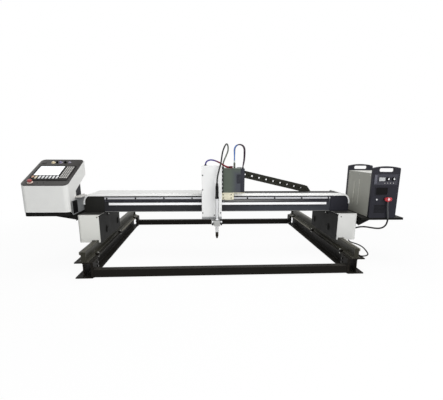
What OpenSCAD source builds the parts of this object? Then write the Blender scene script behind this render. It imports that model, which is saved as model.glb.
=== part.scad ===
// Gantry plasma cutting machine on floor rails.
// Millimetres, +X along the gantry, +Y along the rails away from the operator, +Z up.
// The origin lies on the floor, midway between the rails and midway along them.

/* [Floor rails] */
// Distance between the centre lines of the two rail beams
gauge = 2470; // [2300:10:2700]
// Length of the rail beams and rails
rail_len = 2250; // [2100:10:3000]
// Height of a rail beam
beam_h = 150; // [140:1:170]
// Flange width of a rail beam
beam_w = 150; // [140:1:165]
// Flange thickness of a rail beam
flange_t = 10; // [8:0.5:12]
// Web thickness of a rail beam
web_t = 7; // [5:0.5:10]
// Root fillet of a rail beam
root_r = 8; // [4:0.5:10]
// Side of the square cross tubes
tube_s = 70; // [60:1:110]
// Wall of the square cross tubes
tube_wall = 5; // [3:0.5:8]
// Width of the end plates of the cross tubes
joint_w = 150; // [140:1:200]
// Thickness of the end plates and of the plates that back them
joint_t = 12; // [8:1:16]
// Diameter of the floor anchor holes
anchor_d = 14; // [10:1:18]
// Distance of the anchor holes from the rail beam ends
anchor_inset = 175; // [160:5:400]
// Height of a rail
rail_h = 95; // [85:1:110]
// Width of the rail foot
foot_w = 80; // [70:1:90]
// Thickness of the rail foot at its edge
foot_t = 9; // [7:0.5:11]
// Thickness of the rail web
rail_web = 10; // [8:0.5:14]
// Width of the rail head
head_w = 38; // [34:1:40]
// Height of the rail head
head_h = 28; // [26:1:34]
// Distance of the rail inwards from the middle of its beam
rail_offset = 10; // [6:1:12]
// Number of clip pairs that hold each rail
clip_pairs = 3; // [3:1:9]
// Diameter of the clip and cross tube bolts
bolt_d = 12; // [8:1:14]

/* [Racks and pinions] */
// Gear module of the racks
gear_module = 4; // [3:0.5:4]
// Tooth count of the pinions
pinion_teeth = 15; // [15:1:17]
// Width of the rack bars
rack_w = 24; // [20:1:26]
// Thickness of a rack bar from its back to the pitch line
rack_t = 16; // [14:0.5:18]
// Diameter of the pinion shafts
shaft_d = 20; // [16:1:24]

/* [End carriages] */
// Place of the gantry along the rails
gantry_y = -331; // [-500:1:400]
// Length of an end carriage
truck_len = 802; // [760:1:900]
// Height of the carriage top above the rails
truck_rise = 235; // [220:1:260]
// Depth of the inner plate below the rail top
truck_drop = 30; // [15:1:50]
// Plate thickness of the carriages
truck_t = 6; // [4:0.5:8]
// Distance from the rail to the inner face of a carriage
truck_in = 40; // [38:1:48]
// Distance from the rail to the outer plate of a carriage
truck_out = 37; // [34:1:44]
// Distance from the rail to the outer flange of a carriage
truck_reach = 177; // [165:1:200]
// Tread diameter of the wheels
wheel_d = 120; // [100:1:140]
// Width of the wheel tread
tread_w = 47; // [42:1:50]
// Height of the wheel flange
wheel_flange = 12; // [6:1:16]
// Diameter of the wheel axles
axle_d = 25; // [20:1:30]
// Distance between the two wheels of a carriage
wheel_base = 460; // [400:5:500]
// Side of the square drive motors
motor_s = 80; // [60:1:84]
// Height of a drive motor with its gearbox
motor_h = 180; // [120:1:195]
// Width of a motor cover
cover_w = 203; // [185:1:208]
// Depth of a motor cover
cover_d = 190; // [180:1:200]
// Height of a motor cover
cover_h = 266; // [250:1:276]
// Outer corner radius of a motor cover
cover_r = 28; // [10:1:40]
// Sheet thickness of the covers
sheet_t = 3; // [2:0.5:4]

/* [Gantry beam] */
// Depth of the box beam
box_d = 140; // [120:1:160]
// Height of the box beam
box_h = 170; // [160:1:190]
// Wall of the box beam
box_wall = 6; // [4:0.5:8]
// Distance of the box beam from the front of the carriages
box_inset = 277; // [260:1:290]
// Depth of the chain trough
trough_d = 150; // [130:1:170]
// Height from the box beam top to the cover top
cover_rise = 22; // [16:1:30]
// Radius of the rounded gantry ends
end_r = 88; // [40:1:110]
// Width of an end frame
end_w = 202; // [190:1:208]
// Height of the front lip of the top cover
lip_h = 16; // [8:1:20]
// Left end of the open part of the chain trough
trough_cut = 20; // [0:5:40]
// Height of the upper guide
upper_guide_h = 18; // [14:1:22]
// Height of the lower guide
lower_guide_h = 28; // [24:1:38]
// Depth of the guides
guide_d = 18; // [14:1:20]
// Height of the upper guide's centre above the beam bottom
upper_guide_z = 143; // [140:1:148]
// Height of the rack's centre above the beam bottom
beam_rack_z = 116; // [114:1:118]
// Height of the lower guide's centre above the beam bottom
lower_guide_z = 82; // [76:1:84]
// Spacing of the guide screws
screw_pitch = 292; // [200:1:300]

/* [Cable chain] */
// Link pitch of the cable chain
chain_pitch = 82; // [80:0.5:84]
// Link height of the cable chain
chain_h = 76; // [64:1:78]
// Link width of the cable chain
chain_w = 70; // [56:1:90]
// Diameter of the holes in the links
chain_hole = 28; // [16:1:30]
// Links of the upper run
upper_links = 9; // [7:1:9]
// Links of the lower run
lower_links = 11; // [6:1:11]
// Slope of the upper run
chain_slope = 13; // [12.5:0.1:13.2]

/* [Torch carriage] */
// Left edge of the torch lifter
lifter_x = -190; // [-260:1:-180]
// Width of the torch lifter
lifter_w = 200; // [190:1:210]
// Depth of the torch lifter
lifter_d = 87; // [84:1:110]
// Height of the torch lifter
lifter_h = 528; // [500:1:560]
// Height of the lifter's bottom above the floor rails
lifter_rise = 190; // [180:1:215]
// Thickness of the saddle plate
saddle_t = 10; // [6:1:14]
// Width of the grey housing
housing_w = 183; // [170:1:190]
// Depth of the grey housing
housing_d = 180; // [160:1:200]
// Height of the grey housing
housing_h = 243; // [220:1:270]
// Width of the chain bracket
bracket_w = 44; // [30:1:44]
// Diameter of the lifting screw
screw_d = 20; // [14:1:24]
// Diameter of the lifter's guide rods
rod_d = 16; // [12:1:20]
// Height of the slide block
block_h = 80; // [60:1:90]

/* [Torch] */
// Distance of the torch from the lifter's front
torch_gap = 45; // [40:1:60]
// Radius of the torch handle
handle_r = 15; // [12:0.5:17]
// Length of the torch handle
handle_l = 123; // [90:1:140]
// Radius of the torch tube
torch_r = 15; // [10:0.5:16]
// Radius of the torch barrel
barrel_r = 15; // [12:0.5:16]
// Length of the torch barrel below the clamp
barrel_l = 62; // [40:1:80]
// Length of the nozzle
nozzle_l = 66; // [40:1:70]
// Height of the torch clamp
clamp_h = 56; // [40:1:60]

/* [Console] */
// Width of the console
console_w = 423; // [400:1:450]
// Plan depth of the sloping panel
console_d = 525; // [515:1:560]
// Height of the console front
console_front_h = 255; // [240:1:290]
// Rise of the panel from front to back
panel_rise = 214; // [195:1:226]
// Thickness of the panel
panel_t = 8; // [6:0.5:10]
// Depth of the console's foot
console_foot_d = 205; // [180:1:230]
// Height of the black base under the console
console_base_h = 38; // [26:1:44]
// Sheet thickness of the console
console_t = 2.5; // [1.5:0.5:4]
// Corner radius of the console
console_r = 44; // [14:1:50]
// Height of the console's bottom above the carriage top
console_rise = 20; // [10:1:40]
// Diameter of the emergency stop head
estop_d = 44; // [36:1:48]
// Diameter of the panel controls
control_d = 22; // [16:1:26]

/* [Power supply] */
// Width of the power supply
supply_w = 274; // [264:1:290]
// Depth of the power supply
supply_d = 592; // [560:1:640]
// Height of the power supply with its handles
supply_h = 507; // [490:1:530]
// Thickness of the front and rear bezels
bezel_t = 34; // [26:1:40]
// Height of the handle slots
slot_h = 36; // [26:1:40]
// Height of the bar above the handle slots
handle_bar = 18; // [14:1:24]
// Rise of the crowned bezel tops
bezel_crown = 17; // [8:1:30]
// Radius of the bezels' upper corners
bezel_r = 32; // [12:1:40]
// Diameter of the supply's knobs
knob_d = 34; // [24:1:38]
// Distance of the supply from the carriage flange
supply_gap = 69; // [40:1:90]
// Distance of the supply's shelf below the carriage top
shelf_drop = 17; // [10:1:40]
// Thickness of the shelf plates
shelf_t = 8; // [5:1:10]
// Height of the shelf's folded front edge
shelf_lip = 22; // [14:1:30]

/* [Fits] */
// Radial clearance of shafts and pins
fit = 0.05; // [0.02:0.01:0.1]
// Gap between sliding or rolling faces
slide_gap = 0.3; // [0.2:0.05:0.5]

/* [Hidden] */
$fn = 64;

// Floor rails
beam_x = gauge / 2;
tip_x = beam_x - beam_w / 2;
rail_x = beam_x - rail_offset;
rail_top = beam_h + rail_h;
half_len = rail_len / 2;
joint_gap_z = 6;
clip_span = rail_len - 470;
clip_l = 40;
clip_w = 28;
clip_bolt_x = foot_w / 2 + 14;
joint_bolt_y = 25;

// Racks and pinions
tooth_pitch = PI * gear_module;
pitch_r = gear_module * pinion_teeth / 2;
backlash = 0.5;
rack_drop = 4;
rack_z = rail_top - rack_drop - rack_w / 2;
pinion_h = rack_w + 4;
pinion_x = rail_x + head_w / 2 + rack_t + pitch_r;

// End carriages
truck_front = gantry_y - truck_len / 2;
truck_rear = truck_front + truck_len;
truck_x = rail_x - truck_in;
outer_x = rail_x + truck_out;
flange_x = rail_x + truck_reach;
truck_low = rail_top - truck_drop;
truck_top = rail_top + truck_rise;
axle_z = rail_top + wheel_d / 2;
wheel_y = [gantry_y + 82 - wheel_base / 2, gantry_y + 82 + wheel_base / 2];
pinion_y = truck_front + 94;
drive_zone = 172;
drive_shelf_z = rail_top + 9;
drive_shelf_t = 10;
cover_z = truck_top + 12 - cover_h;
outer_drop = 100;
cover_corner = 20;
console_drop = outer_drop * 0.4;

// Gantry beam
box_y = truck_front + box_inset;
box_back = box_y + box_d;
box_half = flange_x - end_w;
cover_top = truck_top + box_h + cover_rise;
frame_top = cover_top - sheet_t - slide_gap;
gantry_half = flange_x;
frame_front = box_y - 7;
trough_back = box_back + trough_d;
trough_half = truck_x - 5;
cut_end = gantry_half - end_r - 20;
cover_front = frame_front - 11;
cover_back = trough_back + sheet_t;
chain_up = 383.4;
chain_z0 = truck_top + chain_up;
chain_x0 = 249;
chain_y = box_back + trough_d / 2;
bend_links = 4;
bend_step = (180 - chain_slope) / bend_links;
plate_t = 4;

// Torch carriage
saddle_off = 85;
saddle_y = box_y - saddle_off;
rack_line_y = box_y - rack_t;
saddle_pinion_x = lifter_x + lifter_w / 2;
saddle_pinion_y = rack_line_y - pitch_r;
shelf_z = cover_top + 12;
saddle_shelf_t = 6;
housing_x = lifter_x + lifter_w + 12;
housing_z = shelf_z + saddle_shelf_t;
housing_y = saddle_y - saddle_t - 12;
frame_t = 8;
lifter_back = saddle_y - saddle_t - frame_t;
lifter_front = lifter_back - lifter_d;
lifter_z = rail_top + lifter_rise;
lifter_top = lifter_z + lifter_h;
lifter_t = 2.5;
screw_x = lifter_x + lifter_w / 2;
screw_y = lifter_back - 40;
rod_span = 90;
rod_z = lifter_z + 36;
rod_l = 380;
block_up = 175;
block_z = lifter_z + block_up;
lifter_motor_s = 60;

// Torch
torch_in = 150;
torch_x = lifter_x + torch_in;
arm_in = 55;
arm_w = 60;
torch_y = lifter_front - torch_gap;
clamp_top = lifter_z - 6;
clamp_z = clamp_top - clamp_h;
clamp_w = 60;
nozzle_top = clamp_z - barrel_l;
handle_up = 211;
handle_z = lifter_z + handle_up;
handle_top = handle_z + handle_l;

// Console
console_x1 = -(flange_x + 23);
console_x0 = console_x1 - console_w;
console_out = 68;
console_y0 = truck_front - console_out;
console_z0 = truck_top + console_rise + console_base_h;
panel_z0 = console_z0 + console_front_h;
panel_angle = atan2(panel_rise, console_d);
panel_l = sqrt(panel_rise * panel_rise + console_d * console_d);
side_back_h = 155;
side_foot_h = 180;
mount_t = 5;
tray_t = 6;

// Power supply
supply_x0 = flange_x + supply_gap;
supply_y0 = truck_front - 62;
supply_z0 = truck_top - shelf_drop;
case_top = supply_h - slot_h - handle_bar;
knob_z = 386;
knob_x = [153, 208];
lead_x = 171;
case_gap = 18;
lead_z = 189;
plug_w = 70;
plug_h = 36;
gusset_in = 60;
gusset_h = 80;
gusset_out = 88;
shelf_out = 90;
shelf_end = supply_x0 + supply_w + shelf_out;
shelf_slot_w = 62;
shelf_slot_l = 230;

// Routes of the free hoses and cables: round points chosen along each run
torch_hose_d = 15;
torch_hose_route = [
    [-40, -690, 769], [-40, -690, 800], [-38, -688, 840], [-31, -684, 880],
    [-21, -678, 920], [-9, -669, 960], [1, -659, 1000], [8, -647, 1045],
    [17, -633, 1094], [30, -618, 1130], [44, -594, 1157], [58, -559, 1171],
    [71, -522, 1167], [80, -491, 1147], [82, -472, 1115], [76, -468, 1090],
    [62, -466, 1055], [46, -464, 1019], [35, -462, 986], [31, -462, 959],
    [32, -462, 945], [32, -462, 933]
];
gas_hose_d = 12;
blue_hose_route = [
    [149, -482, 990], [149, -482, 1010], [148, -482, 1040], [146, -482, 1080],
    [145, -482, 1118], [152, -482, 1143], [170, -482, 1161], [195, -482, 1168],
    [220, -482, 1161], [238, -482, 1143], [245, -482, 1118], [246, -482, 1085],
    [246, -482, 1048], [244, -482, 1012], [240, -482, 980], [237, -482, 957],
    [236, -482, 944], [236, -482, 931]
];
dark_hose_route = [
    [149, -462, 990], [149, -462, 1010], [150, -462, 1040], [151, -462, 1080],
    [152, -462, 1118], [159, -462, 1144], [178, -462, 1163], [204, -462, 1170],
    [230, -462, 1163], [249, -462, 1144], [256, -462, 1118], [257, -462, 1085],
    [256, -462, 1048], [253, -462, 1012], [247, -462, 980], [241, -462, 957],
    [239, -462, 944], [239, -462, 931]
];
lifter_cable_d = 15;
lifter_cable_route = [
    [-150, -600, 963], [-150, -600, 972], [-145, -600, 993], [-130, -599, 1009],
    [-107, -597, 1017], [-82, -592, 1017], [-57, -585, 1011], [-31, -576, 1001],
    [-6, -564, 989], [18, -550, 975], [41, -535, 961], [62, -520, 950],
    [79, -508, 945], [91, -503, 944], [102, -503, 944]
];
torch_lead_d = 16;
torch_lead_route = [
    [1642, -812, 627], [1642, -812, 615], [1644, -812, 580], [1650, -812, 537],
    [1657, -812, 495], [1661, -812, 455], [1660, -811, 425], [1651, -809, 394],
    [1629, -804, 369], [1600, -797, 357], [1565, -783, 354], [1530, -760, 355],
    [1504, -731, 355], [1482, -702, 352], [1461, -676, 346], [1439, -656, 337],
    [1419, -645, 329], [1410, -642, 325], [1400, -642, 325]
];
rail_cable_d = 12;
rail_cable_route = [
    [1340, -660, 254], [1340, -660, 246], [1340, -666, 222], [1341, -684, 205],
    [1342, -708, 198], [1346, -750, 200], [1352, -800, 204], [1359, -850, 207],
    [1365, -900, 207], [1370, -950, 202], [1372, -1000, 190], [1371, -1040, 177],
    [1365, -1064, 170], [1347, -1082, 165], [1323, -1088, 161], [1299, -1082, 158],
    [1281, -1064, 158], [1275, -1042, 158], [1275, -1030, 158], [1275, -1020, 158]
];

// One side of the machine is the mirror image of the other
module on_side(s) {
    if (s < 0) mirror([1, 0, 0]) children();
    else children();
}

// A plain block from its low corner to its high corner
module block(a, b) {
    translate(a) cube(b - a);
}

// A rectangle with round corners, from the origin
module round_rect(w, h, r) {
    translate([r, 0]) square([w - 2 * r, h]);
    translate([0, r]) square([w, h - 2 * r]);
    for (x = [r, w - r], y = [r, h - r]) translate([x, y]) circle(r);
}

// A drawing in X and Z, drawn out along Y from y0 to y1
module along_y(y0, y1) {
    translate([0, y1, 0]) rotate([90, 0, 0]) linear_extrude(y1 - y0) children();
}

// A drawing in Y and Z, drawn out along X from x0 to x1
module along_x(x0, x1) {
    translate([x0, 0, 0]) rotate([90, 0, 90]) linear_extrude(x1 - x0) children();
}

// A round bar along X, Y or Z
module bar_x(x0, x1, y, z, r) {
    translate([x0, y, z]) rotate([0, 90, 0]) cylinder(r = r, h = x1 - x0);
}

module bar_y(y0, y1, x, z, r) {
    translate([x, y0, z]) rotate([-90, 0, 0]) cylinder(r = r, h = y1 - y0);
}

module bar_z(z0, z1, x, y, r) {
    translate([x, y, z0]) cylinder(r = r, h = z1 - z0);
}

// Tooth outline of a rack along X, its pitch line on y = 0 and its teeth towards +Y, gaps on whole pitches
function rack_points(l, back) =
    let (n = floor(l / tooth_pitch) - 1, t = tan(20), a = tooth_pitch / 4 - backlash / 4)
    concat(
        [[-l / 2, -back]],
        [[-l / 2, -1.25 * gear_module]],
        [for (i = [0:n - 1]) let (c = (i + 0.5 - floor(n / 2)) * tooth_pitch) each [
            [c - a - t * 1.25 * gear_module, -1.25 * gear_module], [c - a + t * gear_module, gear_module],
            [c + a - t * gear_module, gear_module], [c + a + t * 1.25 * gear_module, -1.25 * gear_module]]],
        [[l / 2, -1.25 * gear_module]],
        [[l / 2, -back]]
    );

// Half the angle that an involute tooth spans at radius r
function involute(a) = tan(a) - a * PI / 180;
function tooth_half(r) =
    let (base = pitch_r * cos(20), a = acos(min(1, base / r)))
    90 / pinion_teeth - backlash / pitch_r * 45 / PI + (involute(20) - involute(a)) * 180 / PI;

// Outline of a pinion with a tooth on the +X axis
function pinion_points() =
    let (
        base = pitch_r * cos(20), tip = pitch_r + gear_module, root = pitch_r - 1.3 * gear_module,
        flank = [for (k = [0:4]) base + (tip - base) * k / 4]
    )
    [for (i = [0:pinion_teeth - 1]) let (c = i * 360 / pinion_teeth) each concat(
        [let (h = tooth_half(base)) root * [cos(c - h), sin(c - h)]],
        [for (r = flank) let (h = tooth_half(r)) r * [cos(c - h), sin(c - h)]],
        [for (k = [4:-1:0]) let (r = flank[k], h = tooth_half(r)) r * [cos(c + h), sin(c + h)]],
        [let (h = tooth_half(base)) root * [cos(c + h), sin(c + h)]]
    )];

// Turn that puts a tooth of a pinion at place p into the nearest gap of its rack
function mesh_turn(p) = -(round(p / tooth_pitch) * tooth_pitch - p) / pitch_r * 180 / PI;

module pinion(turn, h) {
    rotate([0, 0, turn]) linear_extrude(h, center = true) polygon(pinion_points());
}

// A tube swept along a route, one closed skin of flat rings
function unit(v) = v / norm(v);
function run(pts, i) = unit(pts[min(i + 1, len(pts) - 1)] - pts[max(i - 1, 0)]);
function side_of(d) = abs(d[2]) < 0.9 ? unit(cross(d, [0, 0, 1])) : unit(cross(d, [0, 1, 0]));
function carried(pts, i) =
    i == 0 ? side_of(run(pts, 0))
    : let (d = run(pts, i), s = carried(pts, i - 1)) unit(s - (s * d) * d);
module tube(pts, d, sides = 8) {
    n = len(pts);
    rings = [for (i = [0:n - 1]) let (t = run(pts, i), u = carried(pts, i), v = cross(t, u))
        for (k = [0:sides - 1]) let (a = 360 * k / sides) pts[i] + d / 2 * (cos(a) * u + sin(a) * v)];
    polyhedron(
        rings,
        concat(
            [[for (k = [sides - 1:-1:0]) k]],
            [for (i = [0:n - 2], k = [0:sides - 1]) let (a = i * sides, b = (k + 1) % sides) each [
                [a + k, a + b, a + sides + b], [a + k, a + sides + b, a + sides + k]]],
            [[for (k = [0:sides - 1]) (n - 1) * sides + k]]
        )
    );
}

// H section of a rail beam, standing on z = 0
module h_section() {
    translate([-beam_w / 2, 0]) square([beam_w, flange_t]);
    translate([-beam_w / 2, beam_h - flange_t]) square([beam_w, flange_t]);
    translate([-web_t / 2, flange_t]) square([web_t, beam_h - 2 * flange_t]);
    for (sx = [-1, 1], top = [0, 1])
        translate([0, beam_h / 2]) mirror([0, top]) mirror([sx < 0 ? 1 : 0, 0])
            translate([web_t / 2, flange_t - beam_h / 2]) difference() {
                square(root_r);
                translate([root_r, root_r]) circle(root_r);
            }
}

// Places along a rail where clips hold it
clip_ys = [for (i = [0:clip_pairs - 1]) -clip_span / 2 + clip_span * i / (clip_pairs - 1)];
joint_bolt_zs = [beam_h * 0.25, beam_h * 0.5, beam_h * 0.75];

module rail_beam(s) color("#23211c") on_side(s) difference() {
    union() {
        translate([beam_x, 0, 0]) along_y(-half_len, half_len) h_section();
        for (e = [0, 1]) mirror([0, e, 0])
            block([tip_x, -half_len, flange_t], [tip_x + joint_t, -half_len + joint_w, beam_h - flange_t]);
    }
    for (y = clip_ys, e = [-1, 1])
        bar_z(beam_h - flange_t - 1, beam_h + 1, rail_x + e * clip_bolt_x, y, bolt_d / 2 + fit);
    for (y = [-1, 1])
        bar_z(-1, flange_t + 1, beam_x + beam_w / 3, y * (half_len - anchor_inset), anchor_d / 2);
    for (e = [-1, 1], z = joint_bolt_zs)
        bar_x(tip_x - 1, tip_x + joint_t + 1, e * (half_len - joint_w + joint_bolt_y), z, bolt_d / 2 + fit);
}

module left_rail_beam() rail_beam(-1);
module right_rail_beam() rail_beam(1);

// Square tube between the rail beams, with an end plate on each end
module cross_tube() color("#26241f") difference() {
    union() {
        block([-tip_x + joint_t, -half_len, flange_t],
              [tip_x - joint_t, -half_len + tube_s, flange_t + tube_s]);
        for (s = [-1, 1]) on_side(s)
            block([tip_x - joint_t, -half_len, joint_gap_z],
                  [tip_x, -half_len + joint_w, beam_h - joint_gap_z]);
    }
    block([-tip_x - 1, -half_len + tube_wall, flange_t + tube_wall],
          [tip_x + 1, -half_len + tube_s - tube_wall, flange_t + tube_s - tube_wall]);
    for (s = [-1, 1], z = joint_bolt_zs) on_side(s)
        bar_x(tip_x - joint_t - 1, tip_x + 1, -half_len + joint_w - joint_bolt_y, z, bolt_d / 2 + fit);
}

module front_cross_tube() cross_tube();
module rear_cross_tube() mirror([0, 1, 0]) cross_tube();

// Rail section standing on the beam, drawn about its own middle
module rail_section() {
    half = [
        [foot_w / 2, 0], [foot_w / 2, foot_t], [rail_web / 2, foot_t + 8],
        [rail_web / 2, rail_h - head_h - 6],
        [head_w / 2, rail_h - head_h], [head_w / 2, rail_h - 4], [head_w / 2 - 4, rail_h]
    ];
    polygon(concat(half, [for (i = [len(half) - 1:-1:0]) [-half[i][0], half[i][1]]]));
}

module rail(s) color("#3a382f") on_side(s) translate([rail_x, 0, beam_h])
    along_y(-half_len, half_len) rail_section();
module left_rail() rail(-1);
module right_rail() rail(1);

// Clamp that bridges the rail foot and the beam flange
module rail_clip() difference() {
    along_y(-clip_l / 2, clip_l / 2) polygon([
        [foot_w / 2 + slide_gap, 0], [foot_w / 2 + clip_w, 0], [foot_w / 2 + clip_w, foot_t + 9],
        [foot_w / 2 - 6, foot_t + 9], [foot_w / 2 - 6, foot_t + 1.5],
        [foot_w / 2 + slide_gap, foot_t + slide_gap]]);
    bar_z(-1, foot_t + 10, clip_bolt_x, 0, bolt_d / 2 + fit);
}

module rail_clips() color("#2b2a26") {
    for (s = [-1, 1], y = clip_ys, e = [0, 1])
        on_side(s) translate([rail_x, y, beam_h]) mirror([e, 0, 0]) rail_clip();
    cable_clip();
}

// Small clip on the flange that takes the end of the rail cable
module cable_clip() {
    end = rail_cable_route[len(rail_cable_route) - 1];
    block([end[0] - 9, end[1], beam_h], [end[0] + 9, end[1] + 24, end[2] + rail_cable_d]);
}

module base_bolts() color("#c9c9c4") for (s = [-1, 1]) on_side(s) {
    for (y = clip_ys, e = [-1, 1])
        translate([rail_x + e * clip_bolt_x, y, beam_h + foot_t + 9]) clip_bolt(flange_t + foot_t + 9);
    for (e = [-1, 1], z = joint_bolt_zs)
        translate([tip_x - joint_t, e * (half_len - joint_w + joint_bolt_y), z]) rotate([0, -90, 0])
            clip_bolt(2 * joint_t);
}

// Hex bolt whose shank stops at the nut
module clip_bolt(l) {
    translate([0, 0, -l]) cylinder(d = bolt_d, h = l);
    cylinder(d = bolt_d * 1.75, h = bolt_d * 0.65, $fn = 6);
    translate([0, 0, -l - bolt_d * 0.7]) cylinder(d = bolt_d * 1.75, h = bolt_d * 0.7, $fn = 6);
}

module drive_racks() color("#5c5b55") for (s = [-1, 1]) on_side(s)
    translate([rail_x + head_w / 2 + rack_t, 0, rack_z - rack_w / 2])
        linear_extrude(rack_w) rotate([0, 0, -90]) polygon(rack_points(rail_len, rack_t));

// Welded end carriage: two side plates, top plate, outer flange with ribs and the drive shelf
module carriage(s) color("#242424") on_side(s) difference() {
    drop = s < 0 ? console_drop : outer_drop;
    union() {
        block([truck_x, truck_front, truck_low], [truck_x + truck_t, truck_rear, truck_top]);
        block([outer_x, truck_front + drive_zone, drive_shelf_z],
              [outer_x + truck_t, truck_rear, truck_top]);
        block([truck_x, truck_front + cover_d, truck_top - 8], [flange_x, truck_rear, truck_top]);
        block([truck_x, truck_rear - truck_t, axle_z], [outer_x + truck_t, truck_rear, truck_top]);
        block([flange_x - truck_t, truck_front + cover_d, truck_top - drop],
              [flange_x, truck_rear, truck_top]);
        for (y = [truck_front + cover_d, truck_rear - truck_t])
            block([outer_x, y, truck_top - drop], [flange_x, y + truck_t, truck_top]);
        block([truck_x, truck_front + 8, drive_shelf_z],
              [pinion_x + motor_s / 2 + 24, truck_front + drive_zone + truck_t,
               drive_shelf_z + drive_shelf_t]);
    }
    for (y = wheel_y) bar_x(truck_x - 1, outer_x + truck_t + 1, y, axle_z, axle_d / 2 + fit);
    bar_z(drive_shelf_z - 1, drive_shelf_z + drive_shelf_t + 1, pinion_x, pinion_y, shaft_d / 2 + fit);
}

module left_carriage() carriage(-1);
module right_carriage() carriage(1);

// Single-flange wheel turned in one piece with its axle
module wheel(s, y) color("#8a8a86") on_side(s) translate([truck_x, y, axle_z]) rotate([90, 0, 90])
    rotate_extrude() {
    tread = wheel_d / 2 - slide_gap;
    x0 = truck_in - 22;
    flange_w = 9;
    polygon([
        [0, 0], [axle_d / 2, 0], [axle_d / 2, x0 - flange_w], [tread + wheel_flange - 3, x0 - flange_w],
        [tread + wheel_flange, x0 - flange_w + 3], [tread + wheel_flange, x0 - 3], [tread, x0],
        [tread, x0 + tread_w], [axle_d / 2 + 12, x0 + tread_w], [axle_d / 2 + 12, truck_in + truck_out - 1],
        [axle_d / 2, truck_in + truck_out - 1], [axle_d / 2, truck_in + truck_out + truck_t],
        [0, truck_in + truck_out + truck_t]]);
}

module left_front_wheel() wheel(-1, wheel_y[0]);
module left_rear_wheel() wheel(-1, wheel_y[1]);
module right_front_wheel() wheel(1, wheel_y[0]);
module right_rear_wheel() wheel(1, wheel_y[1]);

// Pinion on the drive shaft that runs up through the drive shelf into the gearbox
module drive_pinion(s) color("#77766f") on_side(s) translate([pinion_x, pinion_y, rack_z]) {
    pinion(180 + mesh_turn(pinion_y), pinion_h);
    cylinder(d = shaft_d, h = drive_shelf_z + drive_shelf_t + 24 - rack_z);
}

module left_pinion() drive_pinion(-1);
module right_pinion() drive_pinion(1);

// Square gear motor standing on the drive shelf
module gear_motor(shaft_depth) difference() {
    union() {
        block([-motor_s / 2, -motor_s / 2, 0], [motor_s / 2, motor_s / 2, motor_h * 0.4]);
        translate([0, 0, motor_h * 0.4]) cylinder(d = motor_s * 0.8, h = motor_h * 0.06);
        block([-motor_s * 0.44, -motor_s * 0.44, motor_h * 0.46],
              [motor_s * 0.44, motor_s * 0.44, motor_h]);
    }
    translate([0, 0, -1]) cylinder(d = shaft_d + 2 * fit, h = shaft_depth + 1.5);
}

module drive_motors() color("#2d2f33") for (s = [-1, 1]) on_side(s)
    translate([pinion_x, pinion_y, drive_shelf_z + drive_shelf_t]) gear_motor(24);

// Sheet cover over the drive: front with a notch for the rail, rounded outer corner, outer side and top
module motor_cover(s) color("#d9d9d4") on_side(s) difference() {
    translate([truck_x, truck_front - sheet_t, cover_z]) linear_extrude(cover_h) cover_plan(0);
    translate([truck_x, truck_front - sheet_t, cover_z - 1])
        linear_extrude(cover_h + 1 - sheet_t) cover_plan(sheet_t);
    block([rail_x - head_w / 2 - 4, truck_front - sheet_t - 1, cover_z - 1],
          [rail_x + head_w / 2 + rack_t + gear_module + 4, truck_front + 1, rail_top + 3]);
    translate([truck_x, 0, cover_z + cover_h]) along_y(truck_front - sheet_t - 1, truck_front) difference() {
        translate([-1, -cover_corner]) square(cover_corner + 1);
        translate([cover_corner, -cover_corner]) circle(cover_corner);
    }
}

// Plan of the cover: square at the carriage, round at the outer front corner
module cover_plan(inset) {
    w = cover_w - inset;
    r = cover_r - inset;
    back = cover_d + sheet_t;
    translate([-inset, inset]) square([w - r + inset, back - inset + (inset > 0 ? 1 : 0)]);
    translate([0, r + inset]) square([w, back - r - inset + (inset > 0 ? 1 : 0)]);
    translate([w - r, r + inset]) circle(r);
}

module left_motor_cover() motor_cover(-1);

// The right cover also carries the gland of the torch lead
module right_motor_cover() {
    end = torch_lead_route[len(torch_lead_route) - 1];
    motor_cover(1);
    color("#d9d9d4") bar_x(truck_x + cover_w, end[0], end[1], end[2], torch_lead_d * 0.7);
}

// Box beam of the gantry, resting on the carriage tops
module cross_beam() color("#3b3d40") difference() {
    block([-box_half, box_y, truck_top], [box_half, box_back, truck_top + box_h]);
    block([-box_half - 1, box_y + box_wall, truck_top + box_wall],
          [box_half + 1, box_back - box_wall, truck_top + box_h - box_wall]);
}

// Outline of the gantry end in X and Z with a round top corner, drawn in by d
module end_outline(d, low) {
    r = end_r - d;
    x = gantry_half - d;
    top = frame_top - d;
    translate([box_half, low]) square([x - r - box_half, top - low]);
    translate([box_half, low]) square([x - box_half, top - r - low]);
    translate([x - r, top - r]) circle(r);
}

// Black end frame standing on the carriage top, open below
module end_frame(s) color("#222325") on_side(s) difference() {
    along_y(frame_front, trough_back) end_outline(0, truck_top);
    difference() {
        along_y(frame_front + truck_t, trough_back - truck_t) end_outline(truck_t, truck_top - 1);
        block([box_half - 1, frame_front, truck_top - 2], [box_half + truck_t, trough_back, cover_top]);
    }
}

module left_end_frame() end_frame(-1);

// The right end frame is cut away behind the beam, where the bend of the chain runs
module right_end_frame() color("#222325") difference() {
    end_frame(1);
    block([box_half - 1, box_back - slide_gap, truck_top - 1], [cut_end, trough_back + 1, cover_top]);
}

// Skin of the top cover in X and Z: the rounded end grown by d, cut off below
module cover_outline(d) {
    r = end_r + d;
    x = gantry_half + d;
    top = frame_top + d;
    low = truck_top + 80;
    for (s = [0, 1]) mirror([s, 0]) {
        translate([0, low]) square([x - r, top - low]);
        translate([0, low]) square([x, top - r - low]);
        translate([x - r, top - r]) circle(r);
    }
}

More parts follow.
